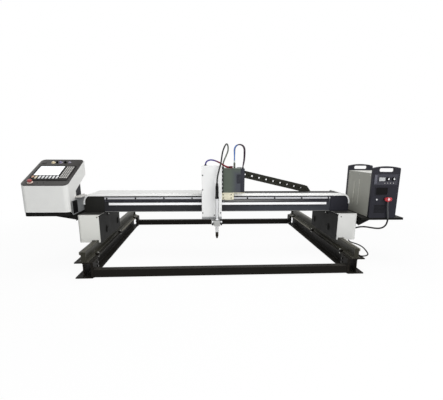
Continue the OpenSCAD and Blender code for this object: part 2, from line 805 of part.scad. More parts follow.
// White top cover: a bent sheet over the whole gantry with a front lip, open over the right trough
module beam_top_cover() color("#dcdcd6") difference() {
    union() {
        along_y(cover_front, cover_back) difference() {
            cover_outline(slide_gap + sheet_t);
            cover_outline(slide_gap);
            translate([-gantry_half * 2, truck_top]) square([gantry_half * 4, 80.5]);
        }
        along_y(cover_front, cover_front + sheet_t) difference() {
            cover_outline(slide_gap + sheet_t);
            cover_outline(slide_gap + sheet_t - lip_h);
            translate([-gantry_half * 2, truck_top]) square([gantry_half * 4, 80.5]);
        }
    }
    block([trough_cut, box_back - 1, truck_top], [cut_end, cover_back + 1, cover_top + 10]);
}

// Guide bars along the beam front
module guide_bar(z, h, half)
    block([-half, box_y - guide_d, truck_top + z - h / 2], [half, box_y, truck_top + z + h / 2]);

guide_half = box_half - 10;
screw_xs = [for (i = [-4:4]) if (abs(i * screw_pitch) < guide_half - 10) i * screw_pitch];

module beam_guides() color("#c4c6c8") {
    difference() {
        guide_bar(upper_guide_z, upper_guide_h, guide_half);
        for (x = screw_xs)
            bar_y(box_y - guide_d - 1, box_y - guide_d / 2, x, truck_top + upper_guide_z, 4 + fit);
    }
    guide_bar(lower_guide_z, lower_guide_h, guide_half - 40);
}

// Socket screws of the upper guide
module guide_screws() color("#1b1b1b") for (x = screw_xs) {
    bar_y(box_y - guide_d - 5, box_y - guide_d, x, truck_top + upper_guide_z, upper_guide_h * 0.45);
    bar_y(box_y - guide_d, box_y - guide_d / 2, x, truck_top + upper_guide_z, 4);
}

module beam_rack() color("#55575a")
    translate([0, rack_line_y, truck_top + beam_rack_z - rack_w / 2]) linear_extrude(rack_w)
        mirror([0, 1]) polygon(rack_points(2 * guide_half, rack_t));

// Links of the cable chain: middle, direction and number, along the upper run, the bend and the lower run
chain_dirs = concat(
    [for (i = [1:upper_links]) -chain_slope],
    [for (i = [1:bend_links - 1]) -chain_slope - bend_step * i],
    [for (i = [1:lower_links]) -180]
);
function chain_pin(i) =
    i == 0 ? [chain_x0, chain_z0]
    : chain_pin(i - 1) + chain_pitch * [cos(chain_dirs[i - 1]), sin(chain_dirs[i - 1])];
chain_pins = [for (i = [0:len(chain_dirs)]) chain_pin(i)];
trough_floor = chain_pins[len(chain_dirs)][1] - chain_h / 2 - slide_gap;

// Side plate of a link about its middle, with its hole
module link_plate() difference() {
    reach = chain_pitch + 2 * 22;
    translate([-reach / 2, -chain_h / 2]) round_rect(reach, chain_h, 20);
    circle(d = chain_hole);
}

// Links with outer and inner plates in turn, held by pins
module cable_chain() color("#2f2e22") translate([0, chain_y, 0]) {
    face = housing_x + housing_w + bracket_w + slide_gap;
    difference() {
        chain_links();
        block([face - chain_pitch, -chain_w, shelf_z + 40], [face, chain_w, chain_z0 + chain_pitch]);
    }
    for (i = [1:len(chain_pins) - 1], e = [0, 1]) mirror([0, e, 0])
        bar_y(chain_w / 2 - 2 * plate_t - 1, chain_w / 2 + 1, chain_pins[i][0], chain_pins[i][1], 6);
}

// Plates and crossbars of all links
module chain_links() {
    for (i = [0:len(chain_dirs) - 1]) {
        mid = (chain_pins[i] + chain_pins[i + 1]) / 2;
        out = chain_w / 2 - (i % 2) * (plate_t + 0.5);
        translate([mid[0], 0, mid[1]]) rotate([0, -chain_dirs[i], 0]) {
            for (e = [0, 1]) mirror([0, e, 0]) along_y(out - plate_t, out) link_plate();
            for (e = [-1, 1]) block([-9, -out + plate_t / 2, e * (chain_h / 2 - 6) - 3],
                                    [9, out - plate_t / 2, e * (chain_h / 2 - 6) + 3]);
        }
    }
}

// Bent channel behind the box beam that the chain lies in, with a taller front wall where the cover is open
module chain_trough() color("#26272a") {
    low = trough_floor - sheet_t;
    block([-trough_half, box_back, low], [trough_half, trough_back, trough_floor]);
    block([-trough_half, box_back, low], [trough_half, box_back + sheet_t, truck_top + box_h]);
    block([-trough_half, trough_back - sheet_t, low], [trough_half, trough_back, truck_top + box_h]);
    block([trough_cut + 2, box_back, truck_top + 1], [cut_end - 2, box_back + sheet_t, cover_top + 5]);
}

// Saddle: plate behind the lifter, arm and shelf over the cover, and bearing blocks on the guides
module saddle_plate() color("#cfc08a") difference() {
    union() {
        block([lifter_x + 4, saddle_y - saddle_t, lifter_z + 65],
              [lifter_x + lifter_w - 4, saddle_y, shelf_z]);
        block([lifter_x + 4, saddle_y - saddle_t, shelf_z - 66], [housing_x + 118, saddle_y, shelf_z]);
        block([lifter_x + 4, saddle_y - saddle_t, shelf_z], [housing_x, housing_y + housing_d, housing_z]);
        block([housing_x, housing_y, shelf_z],
              [housing_x + housing_w + bracket_w, housing_y + housing_d, housing_z]);
        for (x = [lifter_x + 40, lifter_x + lifter_w - 40, housing_x + 60]) upper_block(x);
        for (x = [lifter_x + 40, lifter_x + lifter_w - 40]) lower_block(x);
    }
    bar_z(shelf_z - 1, shelf_z + saddle_shelf_t + 1, saddle_pinion_x, saddle_pinion_y, shaft_d / 2 + fit);
}

// Bearing block over the upper guide, clear of its screws
module upper_block(x) difference() {
    block([x - 30, saddle_y, truck_top + upper_guide_z - upper_guide_h / 2 - 2],
          [x + 30, box_y - 3, truck_top + upper_guide_z + upper_guide_h / 2 + 12]);
    block([x - 31, box_y - guide_d - 5 - 1, truck_top + upper_guide_z - upper_guide_h / 2 - slide_gap],
          [x + 31, box_y + 1, truck_top + upper_guide_z + upper_guide_h / 2 + slide_gap]);
}

// Bearing block round the lower guide
module lower_block(x) difference() {
    block([x - 30, saddle_y, truck_top + lower_guide_z - lower_guide_h / 2 - 12],
          [x + 30, box_y - 3, truck_top + lower_guide_z + lower_guide_h / 2 + 2]);
    block([x - 31, box_y - guide_d - slide_gap, truck_top + lower_guide_z - lower_guide_h / 2 - slide_gap],
          [x + 31, box_y + 1, truck_top + lower_guide_z + lower_guide_h / 2 + slide_gap]);
}

// Motor of the saddle drive, standing on the shelf behind the lifter
module saddle_motor() color("#2d2f33")
    translate([saddle_pinion_x, saddle_pinion_y, housing_z]) gear_motor(24);

module saddle_pinion() color("#77766f")
    translate([saddle_pinion_x, saddle_pinion_y, truck_top + beam_rack_z]) {
        pinion(90 + mesh_turn(saddle_pinion_x), pinion_h);
        cylinder(d = shaft_d, h = housing_z + 24 - truck_top - beam_rack_z);
    }

// Grey sheet housing on the shelf with the chain bracket beside it and the hose fittings on top
module drive_housing() color("#5c625a") {
    top = housing_z + housing_h;
    x1 = housing_x + housing_w;
    difference() {
        block([housing_x, housing_y, housing_z], [x1, housing_y + housing_d, top]);
        block([housing_x + sheet_t, housing_y + sheet_t, housing_z - 1],
              [x1 - sheet_t, housing_y + housing_d - sheet_t, top - sheet_t]);
    }
    block([x1, housing_y + 20, housing_z], [x1 + bracket_w, chain_y + chain_w / 2, top - 2]);
    for (y = [blue_hose_route[0][1], dark_hose_route[0][1]]) {
        bar_z(top, blue_hose_route[0][2], blue_hose_route[0][0], y, 7.5);
    }
    plug = lifter_cable_route[len(lifter_cable_route) - 1];
    block([plug[0], plug[1] - 11, top - 1], [plug[0] + 26, plug[1] + 11, plug[2] + 11]);
}

// Back plate of the lifter with end blocks, guide rods and the lifting motor
module lifter_frame() color("#9a9c9e") difference() {
    union() {
        block([lifter_x + lifter_t + slide_gap, lifter_back, lifter_z + 8],
              [lifter_x + lifter_w - lifter_t - slide_gap, saddle_y - saddle_t, lifter_top - 8]);
        for (z = [rod_z - 16, rod_z + rod_l])
            block([screw_x - rod_span / 2 - 16, screw_y - 18, z],
                  [screw_x + rod_span / 2 + 16, lifter_back, z + 16]);
        for (e = [-1, 1])
            bar_z(rod_z - 8, rod_z + rod_l + 8, screw_x + e * rod_span / 2, screw_y, rod_d / 2);
        block([screw_x - lifter_motor_s / 2, screw_y - lifter_motor_s / 2, rod_z + rod_l + 16],
              [screw_x + lifter_motor_s / 2, lifter_back, lifter_top - 12]);
    }
    bar_z(rod_z - 17, rod_z + rod_l + 17 + 12, screw_x, screw_y, screw_d / 2 + fit);
}

module lifter_screw() color("#b9bbbd")
    bar_z(rod_z - 16, rod_z + rod_l + 16 + 10, screw_x, screw_y, screw_d / 2);

// White sheet cover of the lifter, open behind and below, with the gland of its cable on top
module lifter_shell() color("#f0f0ec") {
    difference() {
        block([lifter_x, lifter_front, lifter_z], [lifter_x + lifter_w, saddle_y - saddle_t, lifter_top]);
        block([lifter_x + lifter_t, lifter_front + lifter_t, lifter_z - 1],
              [lifter_x + lifter_w - lifter_t, saddle_y, lifter_top - lifter_t]);
    }
}

// Slide block on the rods with the arm that comes out below and the clamp that holds the torch
module torch_slide() color("#a9abad") {
    arm_y = lifter_front + lifter_t + 6;
    difference() {
        block([screw_x - rod_span / 2 - 14, screw_y - 16, block_z],
              [screw_x + rod_span / 2 + 14, screw_y + 16, block_z + block_h]);
        for (e = [-1, 0, 1])
            bar_z(block_z - 1, block_z + block_h + 1, screw_x + e * rod_span / 2, screw_y,
                  (e == 0 ? screw_d : rod_d) / 2 + fit);
    }
    block([torch_x - arm_in, arm_y, clamp_z], [torch_x - arm_in + arm_w, arm_y + 8, block_z + block_h]);
    block([torch_x - arm_in, arm_y, block_z],
          [torch_x - arm_in + arm_w, screw_y - 16, block_z + block_h]);
    difference() {
        block([torch_x - clamp_w / 2, torch_y - barrel_r - 12, clamp_z],
              [torch_x + clamp_w / 2, lifter_front - 2, clamp_top]);
        bar_z(clamp_z - 1, clamp_top + 1, torch_x, torch_y, torch_r + fit);
    }
    block([torch_x - clamp_w / 2, lifter_front - 2, clamp_z], [torch_x + 5, arm_y + 4, clamp_z + 14]);
    for (e = [-1, 1], z = [clamp_z + clamp_h * 0.28, clamp_z + clamp_h * 0.72])
        translate([torch_x + e * clamp_w / 2, torch_y - 6, z]) rotate([0, e * 90, 0]) {
            cylinder(r = 4, h = 8);
            translate([0, 0, 6]) cylinder(r = 8, h = 12);
        }
}

// Machine torch: black handle with a collar, steel tube through the clamp, barrel below
module torch() color("#8d8f90") {
    difference() {
        union() {
            bar_z(handle_z + 20, handle_top, torch_x, torch_y, handle_r);
            bar_z(handle_z, handle_z + 20, torch_x, torch_y, handle_r + 4);
            bar_z(clamp_z, handle_z, torch_x, torch_y, torch_r);
            bar_z(nozzle_top, clamp_z, torch_x, torch_y, barrel_r);
        }
        bar_z(nozzle_top - 1, nozzle_top + 12, torch_x, torch_y, barrel_r * 0.5 + fit);
    }
}

// Nozzle and shield cup that plug into the barrel
module torch_nozzle() color("#1d1d1d") translate([torch_x, torch_y, nozzle_top]) rotate_extrude() polygon([
    [0, 12], [barrel_r * 0.5, 12], [barrel_r * 0.5, 0], [barrel_r, 0], [barrel_r, -nozzle_l * 0.62],
    [barrel_r * 0.45, -nozzle_l], [2, -nozzle_l], [2, -nozzle_l + 8], [0, -nozzle_l + 8]]);

// Side outline of the console in Y and Z, drawn in by d from its walls
module console_side(d) {
    y0 = console_y0 + d;
    back = console_y0 + console_d;
    foot = console_y0 + console_foot_d;
    cut = console_z0 + side_foot_h;
    low = console_z0 - (d > 0 ? 1 : 0);
    hem = console_z0 - console_base_h + tray_t + slide_gap;
    under = (panel_t + slide_gap) / cos(panel_angle);
    polygon([
        [y0, low], [y0, panel_z0 + d * tan(panel_angle) - under], [back, panel_z0 + panel_rise - under],
        [back, panel_z0 + panel_rise - side_back_h], [foot, cut], [foot, hem],
        [y0 + 80, hem], [y0 + 34, low]]);
}

// White console cover: front and two sides, open above, below and behind
module console_shell() color("#dededa") difference() {
    intersection() {
        along_x(console_x0, console_x1) console_side(0);
        console_plan(0, console_z0 - console_base_h);
    }
    intersection() {
        along_x(console_x0 - 1, console_x1 + 1) console_inside();
        console_plan(console_t, console_z0 - console_base_h - 1);
    }
}

// Space inside the console, running out above, below and behind
module console_inside() {
    translate([console_y0, console_z0 - console_base_h - 1])
        square([console_d + 2, console_base_h + panel_rise + console_front_h + 20]);
}

// Plan of the console with round corners, drawn in by d
module console_plan(d, z0) {
    translate([console_x0 + d, console_y0 + d, z0])
        linear_extrude(console_base_h + panel_rise + console_front_h + 40)
        round_rect(console_w - 2 * d, console_d + 40, console_r - d);
}

// Local frame of the sloping panel: u along X, v up the slope, z out of the panel
module on_panel(u, v) {
    translate([console_x0, console_y0, panel_z0]) rotate([panel_angle, 0, 0])
        translate([u, v, 0]) children();
}

// Places of the round controls on the panel
row_v = panel_l - 78;
estop_uv = [77, 50];
start_uv = [140, row_v - 5];
mode_uv = [176, row_v];
pause_uv = [212, row_v - 5];
speed_uv = [258, row_v];
control_uvs = [start_uv, mode_uv, pause_uv, speed_uv];
stem_d = 12;

// Screen and key unit: its place, its screen and the pitches of its keys
unit_u = 36;
unit_v = 84;
unit_w = console_w - 65;
unit_l = panel_l - 244;
unit_t = 4;
key_t = 1.5;
soft_count = 8;
soft_v = 36;
soft_l = 58;
screen_v = 106;
screen_w = unit_w - 100;
screen_l = unit_l - screen_v - 10;
soft_pitch = (unit_w - 98) / soft_count;
pad_cols = 4;
pad_rows = 8;
pad_v = 44;
pad_w = 78;
col_pitch = pad_w / pad_cols;
key_pitch = (unit_l - pad_v - 14) / pad_rows;

// Charcoal panel with the bores of its controls
module console_panel() color("#474747") difference() {
    on_panel(0, 0) translate([0, 0, -panel_t])
        linear_extrude(panel_t) round_rect(console_w, panel_l, console_r);
    for (p = concat([estop_uv], control_uvs)) on_panel(p[0], p[1])
        translate([0, 0, -panel_t - 1]) cylinder(d = stem_d + 2 * fit, h = panel_t + 2);
}

// Screen and key field set on the panel, drawn flat and then laid on the slope
module control_unit() color("#30302f") on_panel(unit_u, unit_v) {
    difference() {
        linear_extrude(unit_t) round_rect(unit_w, unit_l, 8);
        translate([8, screen_v, unit_t / 2]) linear_extrude(unit_t) square([screen_w, screen_l]);
    }
    for (i = [0:soft_count - 1]) translate([14 + soft_pitch * i, soft_v, unit_t / 4])
        linear_extrude(unit_t * 0.75 + key_t) round_rect(soft_pitch * 0.56, soft_l, 4);
    for (i = [0:pad_cols - 1], j = [0:pad_rows - 1])
        translate([unit_w - pad_w - 6 + col_pitch * i, pad_v + key_pitch * j, unit_t / 4])
            linear_extrude(unit_t * 0.75 + key_t) round_rect(col_pitch * 0.74, key_pitch * 0.74, 3);
}

// Red mushroom head on a stem through the panel, with travel below the head
module estop_button() color("#b3201c") on_panel(estop_uv[0], estop_uv[1]) {
    translate([0, 0, -panel_t - 6]) cylinder(d = stem_d, h = panel_t + 18);
    translate([0, 0, 12]) rotate_extrude() polygon([
        [0, 0], [estop_d * 0.36, 0], [estop_d * 0.5, 6], [estop_d * 0.5, 11],
        [estop_d * 0.42, 16], [0, 18]]);
}

// Push button: cap above the panel on a stem through it
module push_button(p) on_panel(p[0], p[1]) {
    translate([0, 0, -panel_t - 5]) cylinder(d = stem_d, h = panel_t + 11);
    translate([0, 0, 6]) cylinder(d = control_d, h = 8);
}

module start_button() color("#d8c9a0") push_button(start_uv);
module pause_button() color("#5a5aa0") push_button(pause_uv);

// Rotary switch: collar and grip on a stem through the panel
module rotary(p, grip) on_panel(p[0], p[1]) {
    translate([0, 0, -panel_t - 5]) cylinder(d = stem_d, h = panel_t + 6);
    translate([0, 0, 0.5]) cylinder(d = control_d, h = 8);
    block([-grip / 2, -control_d * 0.45, 8.5], [grip / 2, control_d * 0.45, 18]);
}

module mode_selector() color("#191919") rotary(mode_uv, 7);
module speed_knob() color("#191919") rotary(speed_uv, 12);

// Dark rear body of the console and the plate that carries it on the gantry end
module console_back() color("#4a4c4e") {
    foot = console_y0 + console_foot_d;
    side = console_t + 14;
    low = console_z0;
    high = panel_z0 + panel_rise - side_back_h - 5;
    difference() {
        along_x(console_x0 + side, console_x1 - side) polygon([
            [console_y0 + 40, low], [console_y0 + 40, low + 60], [foot, high],
            [foot + 185, high], [foot + 185, low]]);
        along_x(console_x0 + side + sheet_t, console_x1 - side - sheet_t) polygon([
            [console_y0 + 40 + sheet_t, low - 1], [console_y0 + 40 + sheet_t, low + 58],
            [foot, high - sheet_t],
            [foot + 185 - sheet_t, high - sheet_t], [foot + 185 - sheet_t, low - 1]]);
    }
    block([console_x1 - side, foot + 20, low + 40], [-flange_x - 9, foot + 140, low + 100]);
    along_x(-flange_x - 9, -flange_x - 4) polygon([
        [foot - 168, low - console_base_h + tray_t + slide_gap], [foot - 168, low + 101],
        [foot - 45, low + 101], [foot - 45, low + 117], [foot + 183, low + 117], [foot + 183, low],
        [foot + 150, low - console_base_h + tray_t + slide_gap]]);
}

// Black base under the console with gussets and the root plate on the carriage flange
module console_bracket() color("#1f1f1f") {
    low = console_z0 - console_base_h;
    foot = console_y0 + console_foot_d;
    difference() {
        translate([console_x0 + 4, console_y0 + 5, low]) linear_extrude(console_base_h)
            round_rect(console_w - 8, console_foot_d + 35, console_r - 4);
        translate([console_x0 + 10, console_y0 + 11, low + tray_t]) linear_extrude(console_base_h)
            round_rect(console_w - 20, console_foot_d + 23, console_r - 10);
    }
    for (y = [console_y0 + 90, foot + 34]) along_y(y, y + 6)
        polygon([[-flange_x - mount_t, low - 50], [-flange_x - mount_t, low], [console_x1 - 255, low]]);
    block([-flange_x - mount_t, console_y0 + 90, truck_top - console_drop],
          [-flange_x, truck_rear - 300, low + tray_t]);
    block([console_x1 - 10, console_y0 + 90, low], [-flange_x, foot + 40, low + tray_t]);
}

// Outline of a supply bezel with its handle slot
module bezel_outline() difference() {
    crown_r = (supply_w * supply_w / 4 + bezel_crown * bezel_crown) / (2 * bezel_crown);
    intersection() {
        union() {
            round_rect(supply_w, supply_h, bezel_r);
            round_rect(supply_w, supply_h / 2, 12);
        }
        union() {
            square([supply_w, supply_h - bezel_crown - 1]);
            translate([supply_w / 2, supply_h - crown_r]) circle(crown_r, $fn = 180);
        }
    }
    translate([supply_w * 0.22, case_top]) round_rect(supply_w * 0.56, slot_h, slot_h * 0.4);
}

module supply_at(x, y, z) translate([supply_x0 + x, supply_y0 + y, supply_z0 + z]) children();

// Front bezel with the bores of its knobs and the socket of the torch lead
module supply_front() color("#2d2e34") difference() {
    supply_at(0, 0, 0) along_y(0, bezel_t) bezel_outline();
    for (x = knob_x) supply_at(x, 0, knob_z) bar_y(-1, 14, 0, 0, 4 + fit);
    supply_at(lead_x, 0, lead_z) bar_y(-1, 16, 0, 0, 16 + fit);
}

module supply_rear() color("#26272b")
    supply_at(0, supply_d - bezel_t, 0) along_y(0, bezel_t) bezel_outline();

// Metal case between the bezels, open at both ends
module supply_case() color("#84868a") difference() {
    supply_at(4, bezel_t, 4) cube([supply_w - 8, supply_d - 2 * bezel_t, case_top - case_gap]);
    supply_at(4 + sheet_t, bezel_t - 1, 4 + sheet_t)
        cube([supply_w - 8 - 2 * sheet_t, supply_d - 2 * bezel_t + 2, case_top - case_gap - 2 * sheet_t]);
}

// Turning knob on the supply front
module supply_knob(x) color("#1c1c1e") supply_at(x, 0, knob_z) {
    bar_y(-2, 13, 0, 0, 4);
    bar_y(-18, -slide_gap, 0, 0, knob_d / 2);
}

module current_knob() supply_knob(knob_x[0]);
module pressure_knob() supply_knob(knob_x[1]);

// Red elbow plug of the torch lead in its socket, with a wide grip and the lead's neck below
module lead_connector() color("#a52a26") supply_at(lead_x, 0, lead_z) {
    bar_y(-11, 15, 0, 0, 16);
    along_y(-26, -10) translate([-plug_w / 2, -plug_h / 2]) round_rect(plug_w, plug_h, plug_h * 0.42);
    bar_y(-31, -26, 0, 0, 14);
    bar_z(-25, -10, 0, -18, 11);
}

// Black shelf under the supply with gussets and the root plate on the carriage flange
module supply_bracket() color("#1f1f1f") {
    low = supply_z0 - shelf_t;
    difference() {
        block([flange_x, supply_y0 + 4, low], [shelf_end, supply_y0 + supply_d, supply_z0]);
        translate([supply_x0 + supply_w + 14, supply_y0 + 150, low - 1]) linear_extrude(shelf_t + 2)
            round_rect(shelf_slot_w, shelf_slot_l, 24);
    }
    block([flange_x, supply_y0 + 4, supply_z0 - shelf_lip],
          [shelf_end, supply_y0 + 8, supply_z0]);
    for (y = [supply_y0 + gusset_in, supply_y0 + supply_d - gusset_in - 6]) along_y(y, y + 6) polygon([
        [flange_x, low - gusset_h], [flange_x + mount_t, low - gusset_h],
        [supply_x0 + gusset_out, low - 2], [supply_x0 + gusset_out, low], [flange_x, low]]);
    block([flange_x, supply_y0 + gusset_in, low - gusset_h + 5],
          [flange_x + mount_t, supply_y0 + supply_d - gusset_in, low]);
}

module torch_hose() color("#1a1a1a") tube(torch_hose_route, torch_hose_d);

module saddle_hoses() {
    color("#4a78c0") tube(blue_hose_route, gas_hose_d);
    color("#2a1830") tube(dark_hose_route, gas_hose_d);
    color("#4b4a80") tube(lifter_cable_route, lifter_cable_d);
}

module torch_lead() color("#161616") tube(torch_lead_route, torch_lead_d);
module rail_cable() color("#161616") tube(rail_cable_route, rail_cable_d);

left_rail_beam();
right_rail_beam();
front_cross_tube();
rear_cross_tube();
left_rail();
right_rail();
rail_clips();
base_bolts();
drive_racks();
left_carriage();
right_carriage();
left_motor_cover();
right_motor_cover();
drive_motors();
left_front_wheel();
left_rear_wheel();
right_front_wheel();
right_rear_wheel();
left_pinion();
right_pinion();
cross_beam();
beam_top_cover();
left_end_frame();
right_end_frame();
beam_guides();
guide_screws();
beam_rack();
chain_trough();
cable_chain();
console_bracket();
console_shell();
console_back();
console_panel();
control_unit();
estop_button();
start_button();
pause_button();
mode_selector();
speed_knob();
supply_bracket();
supply_case();
supply_front();
supply_rear();
current_knob();
pressure_knob();
lead_connector();
saddle_plate();
saddle_motor();
saddle_pinion();
drive_housing();
lifter_frame();
lifter_shell();
lifter_screw();
torch_slide();
torch();
torch_nozzle();
torch_hose();
saddle_hoses();
torch_lead();
rail_cable();
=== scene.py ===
# %% [markdown]
# # A plasma cutting gantry, dressed over its solids
# The machine is a wide gantry on two floor rails, with a console on its left end, a power supply on its
# right end and a torch carriage on the beam. The solids already stand in their places, so this lesson
# only adds light, finishes and the small pieces that a maker fits last.

# %% Load the solids
import math
import bmesh
import bpy
from mathutils import Matrix, Vector


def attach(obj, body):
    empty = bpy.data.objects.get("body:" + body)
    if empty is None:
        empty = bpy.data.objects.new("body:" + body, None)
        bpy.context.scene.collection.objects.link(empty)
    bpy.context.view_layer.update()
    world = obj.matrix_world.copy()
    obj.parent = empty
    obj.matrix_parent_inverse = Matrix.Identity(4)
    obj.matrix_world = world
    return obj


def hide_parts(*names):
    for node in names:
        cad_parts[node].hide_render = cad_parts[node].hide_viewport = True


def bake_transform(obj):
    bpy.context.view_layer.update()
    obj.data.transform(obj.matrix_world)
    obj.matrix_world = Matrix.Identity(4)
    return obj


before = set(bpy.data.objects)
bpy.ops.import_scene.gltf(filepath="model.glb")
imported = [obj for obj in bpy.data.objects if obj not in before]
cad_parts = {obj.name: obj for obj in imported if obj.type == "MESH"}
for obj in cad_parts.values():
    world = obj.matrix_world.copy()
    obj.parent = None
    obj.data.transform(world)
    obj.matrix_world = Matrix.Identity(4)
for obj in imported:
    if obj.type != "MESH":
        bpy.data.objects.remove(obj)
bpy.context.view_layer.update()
scene = bpy.context.scene
scene.view_settings.view_transform = "Standard"

# %% [markdown]
# ## Camera
# The photograph was taken from a little above the beam, just left of the middle, with a wide lens.
# A camera could be aimed by eye, but the lines of the floor rails and the beam give its tilt and lens, so
# the numbers are written down once. The shift slides the frame without turning the camera.

# %% Camera
PHOTO_W = 443
FOCAL_PX = 335.7
SENSOR_MM = 36.0
EYE = (-0.184, -3.990, 1.105)
pitch = math.radians(13.93)
yaw = math.radians(3.87)
roll = math.radians(-0.35)
forward = Vector((math.sin(yaw) * math.cos(pitch), math.cos(yaw) * math.cos(pitch), -math.sin(pitch)))
level = Vector((math.cos(yaw), -math.sin(yaw), 0.0))
upright = level.cross(forward)
right = level * math.cos(roll) - upright * math.sin(roll)
up = level * math.sin(roll) + upright * math.cos(roll)
camera = bpy.data.objects.new("photo_camera", bpy.data.cameras.new("photo_camera"))
scene.collection.objects.link(camera)
camera.data.sensor_fit = "HORIZONTAL"
camera.data.sensor_width = SENSOR_MM
camera.data.lens = SENSOR_MM * FOCAL_PX / PHOTO_W
camera.data.shift_x = -0.00745
camera.data.shift_y = 0.0772
stand = Matrix((right, up, -forward)).transposed().to_4x4()
camera.matrix_world = Matrix.Translation(EYE) @ stand
scene.camera = camera
print("lens", round(camera.data.lens, 2), "mm")

# %% [markdown]
# ## Studio
# The machine stands on a white sweep, so the background is white and the floor keeps only a soft shadow.
# Turning the lamps up would burn out the white covers. Instead, the world and the floor answer the
# camera, and rays that come by a mirror or glass, with plain white by the Light Path node, and light
# the machine at an everyday level. A helper adds a node, sets its options and fills its sockets with
# values or links, here and for all the finishes later.

# %% Node helper
def wire(tree, kind, sockets, **options):
    node = tree.nodes.new(kind)
    for label, value in options.items():
        setattr(node, label, value)
    for label, source in sockets.items():
        if isinstance(source, bpy.types.NodeSocket):
            tree.links.new(source, node.inputs[label])
        else:
            node.inputs[label].default_value = source
    return node


def calc(tree, operation, first, second, clamp=False):
    node = wire(tree, "ShaderNodeMath", {0: first, 1: second}, operation=operation, use_clamp=clamp)
    return node.outputs[0]


def seen_rays(tree):
    rays = tree.nodes.new("ShaderNodeLightPath").outputs
    seen = calc(tree, "MAXIMUM", rays["Is Camera Ray"], rays["Is Glossy Ray"])
    return calc(tree, "MAXIMUM", seen, rays["Is Transmission Ray"])


print("node helper ready")

# %% World and lamps
SKY_FILL = (0.94, 0.97, 1.0, 1.0)
WHITE = (1.0, 1.0, 1.0, 1.0)
world = bpy.data.worlds.new("studio")
scene.world = world
world.use_nodes = True
sky = world.node_tree
sky.nodes.clear()
sky_fill = wire(sky, "ShaderNodeBackground", {"Color": SKY_FILL, "Strength": 0.24})
sky_white = wire(sky, "ShaderNodeBackground", {"Color": WHITE, "Strength": 1.0})
sky_mix = wire(sky, "ShaderNodeMixShader",
               {0: seen_rays(sky), 1: sky_fill.outputs[0], 2: sky_white.outputs[0]})
wire(sky, "ShaderNodeOutputWorld", {"Surface": sky_mix.outputs[0]})


def lamp(name, place, aim, size, power):
    data = bpy.data.lights.new(name, "AREA")
    data.shape = "SQUARE"
    data.size = size
    data.energy = power
    body = bpy.data.objects.new(name, data)
    scene.collection.objects.link(body)
    body.location = place
    body.rotation_euler = (Vector(aim) - Vector(place)).to_track_quat("-Z", "Y").to_euler()


lamp("key_lamp", (3.4, -4.3, 3.2), (0.0, -0.3, 0.5), 4.0, 165.0)
lamp("fill_lamp", (-0.4, -5.2, 2.4), (-0.4, -0.3, 0.5), 2.4, 68.0)
lamp("top_lamp", (0.0, 0.2, 4.2), (0.0, 0.0, 0.0), 4.0, 105.0)
print("lamps", len(bpy.data.lights))

# %% Floor
floor_mesh = bpy.data.meshes.new("studio_floor")
floor_bm = bmesh.new()
bmesh.ops.create_grid(floor_bm, x_segments=8, y_segments=8, size=30.0)
floor_bm.to_mesh(floor_mesh)
floor_bm.free()
floor = bpy.data.objects.new("studio_floor", floor_mesh)
floor.location = (0.0, 0.0, -0.001)
scene.collection.objects.link(floor)
sweep_paint = bpy.data.materials.new("white_sweep")
sweep_paint.use_nodes = True
sweep_tree = sweep_paint.node_tree
sweep_base = sweep_tree.nodes["Principled BSDF"]
sweep_base.inputs["Base Color"].default_value = (0.86, 0.86, 0.86, 1.0)
sweep_base.inputs["Roughness"].default_value = 0.9
sweep_base.inputs["Specular IOR Level"].default_value = 0.0
sweep_glow = wire(sweep_tree, "ShaderNodeEmission", {"Strength": 1.0})
sweep_place = sweep_tree.nodes.new("ShaderNodeTexCoord")
sweep_far = wire(sweep_tree, "ShaderNodeVectorMath", {0: sweep_place.outputs["Object"]}, operation="LENGTH")
sweep_fade = wire(sweep_tree, "ShaderNodeMapRange",
                  {"Value": sweep_far.outputs["Value"], "From Min": 1.9, "From Max": 4.2,
                   "To Min": 0.94, "To Max": 1.0}, interpolation_type="SMOOTHSTEP")
sweep_share = calc(sweep_tree, "MULTIPLY", seen_rays(sweep_tree), sweep_fade.outputs["Result"])
sweep_mix = wire(sweep_tree, "ShaderNodeMixShader",
                 {0: sweep_share, 1: sweep_base.outputs[0], 2: sweep_glow.outputs[0]})
sweep_tree.links.new(sweep_mix.outputs[0], sweep_tree.nodes["Material Output"].inputs["Surface"])
floor_mesh.materials.append(sweep_paint)
print("floor ready")

# %% [markdown]
# ## A maker's bench
# Every added piece is drawn in millimetres, as on a workshop drawing, and scaled to metres when it is kept.
# Four tools are enough: a block with broken edges, a turned piece, a flat slab with or without an opening,
# and a tube swept along a route. Writing the vertices one by one keeps each count low. A block gets its
# edges in a mesh of its own, so the faces come in the same order in every run. What is fixed to a face is
# drawn flat and laid on it by a matrix, a hair off the face so that no two coincide.

# %% Bench tools
UP = (0.0, 0.0, 1.0)
SEAT = 0.05


def plane(u, v, h, place):
    spot = Matrix((Vector(u), Vector(v), Vector(h))).transposed().to_4x4()
    spot.translation = place
    return spot


def facing(y):
    return plane((1.0, 0.0, 0.0), UP, (0.0, -1.0, 0.0), (0.0, y, 0.0))


def block(bm, low, high, edge, spot=None):
    part = bmesh.new()
    corners = []
    for x in (low[0], high[0]):
        for y in (low[1], high[1]):
            for z in (low[2], high[2]):
                point = Vector((x, y, z))
                corners.append(part.verts.new(spot @ point if spot else point))
    sides = ((0, 1, 3, 2), (4, 6, 7, 5), (0, 4, 5, 1), (2, 3, 7, 6), (0, 2, 6, 4), (1, 5, 7, 3))
    for side in sides:
        part.faces.new([corners[i] for i in side])
    bmesh.ops.bevel(part, geom=part.edges[:], offset=edge, segments=2, profile=0.6, affect="EDGES")
    mesh = bpy.data.meshes.new("block")
    part.to_mesh(mesh)
    part.free()
    bm.from_mesh(mesh)
    bpy.data.meshes.remove(mesh)


